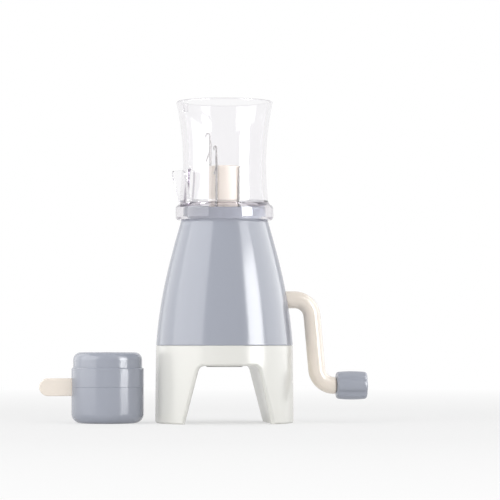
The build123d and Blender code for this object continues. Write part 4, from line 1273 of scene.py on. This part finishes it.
@dataclass(frozen=True)
class Studio:
    """Pale floor, white surroundings and soft panels.

    The floor glows with a share of white, which fades to full white from the first distance to the
    second, so that only the machine's shadow shows on it.
    """

    ambient: float = 0.78
    front: Colour = (0.80, 0.80, 0.81)
    front_gain: float = 1.6
    white: Colour = (1.0, 1.0, 1.0)
    floor_size: float = 12.0
    paper: tuple[Colour, Colour] = ((0.80, 0.80, 0.80), (0.84, 0.84, 0.84))
    paper_grain: float = 1.5 * MM
    glow: float = 0.55
    fade: tuple[float, float] = (0.25, 0.9)
    panels: tuple[Panel, ...] = (
        Panel("strip_right", Role.REFLECTION, 51, 0.18, 1.0, (0.5, 0.8), 14.0),
        Panel("strip_top", Role.REFLECTION, 51, 0.82, 0.95, (0.5, 0.42), 5.0),
        Panel("wall_right", Role.REFLECTION, 101, 0.35, 1.0, (1.2, 1.5), 3.0, on_hood=False),
        Panel("wall_left", Role.REFLECTION, -71, 0.35, 1.0, (1.2, 1.5), 3.1),
        Panel("wall_back_left", Role.REFLECTION, -123, 0.35, 1.0, (0.8, 1.5), 1.3, on_hood=False),
        Panel("key_right", Role.LIGHT, 35, 0.9, 1.4, (0.9, 1.2), 1.4),
        Panel("fill_left", Role.LIGHT, -60, 0.5, 1.4, (1.0, 1.2), 1.7),
    )

    def world(self) -> None:
        """Make the white surroundings, a little darker in front where only reflections see them."""
        world = bpy.data.worlds.new("surroundings")
        bpy.context.scene.world = world
        world.use_nodes = True
        graph = Graph(world.node_tree)
        _, depth, _ = graph.add("ShaderNodeTexCoord", output="Generated").parts()
        shade = graph.blend((depth * -self.front_gain).clamped(), self.white, self.front)
        lit = graph.blend(graph.ray(Ray.GLOSSY), (self.ambient,) * 3, shade)
        colour = graph.blend(graph.ray(Ray.CAMERA, Ray.TRANSMISSION), lit, self.white)
        background = graph.add("ShaderNodeBackground", None, {"Color": colour, "Strength": 1.0})
        graph.add("ShaderNodeOutputWorld", None, {"Surface": background})

    def floor(self) -> None:
        """Lay the pale floor, white to the camera apart from the object's shadow."""
        half = self.floor_size / 2
        mesh = bpy.data.meshes.new("floor")
        mesh.from_pydata([(-half, -half, 0), (half, -half, 0), (half, half, 0), (-half, half, 0)],
                         [], [(0, 1, 2, 3)])
        floor = bpy.data.objects.new("floor", mesh)
        bpy.context.scene.collection.objects.link(floor)
        material, graph = new_material("floor_paper")
        grain = surface_noise(graph, self.paper_grain)
        paper = graph.add("ShaderNodeBsdfDiffuse", None,
                          {"Color": graph.blend(grain, *self.paper)})
        glow = graph.add("ShaderNodeEmission", None,
                         {"Color": (*self.white, 1.0), "Strength": 1.0})
        away = graph.add("ShaderNodeVectorMath", {"operation": "LENGTH"},
                         {0: graph.add("ShaderNodeTexCoord", output="Object")}, "Value")
        near, far = self.fade
        faded = ((away - near) * (1 / (far - near))).clamped()
        seen = graph.ray(Ray.CAMERA, Ray.GLOSSY, Ray.TRANSMISSION)
        share = seen * (self.glow + (1 - self.glow) * faded)
        mixed = graph.add("ShaderNodeMixShader", None, {0: share, 1: paper, 2: glow})
        graph.add("ShaderNodeOutputMaterial", None, {"Surface": mixed})
        mesh.materials.append(material)

    def build(self) -> None:
        """Build the whole studio."""
        self.world()
        self.floor()
        for panel in self.panels:
            panel.hang()
            LOG.info("hung %s, which %s", panel.name, panel.role.value)


def main() -> None:
    """Build the machine's looks and the studio around it."""
    palette = Palette()
    screws = screw_tree()
    MachineBody().build(palette, screws)
    NeedleDrum().build(palette)
    Crank().build(palette, screws)
    CordWeight().build(palette)
    PhotoCamera().place()
    Studio().build()
    bpy.context.scene.view_settings.view_transform = "Standard"


if __name__ == "__main__":
    logging.basicConfig(level=logging.INFO)
    main()
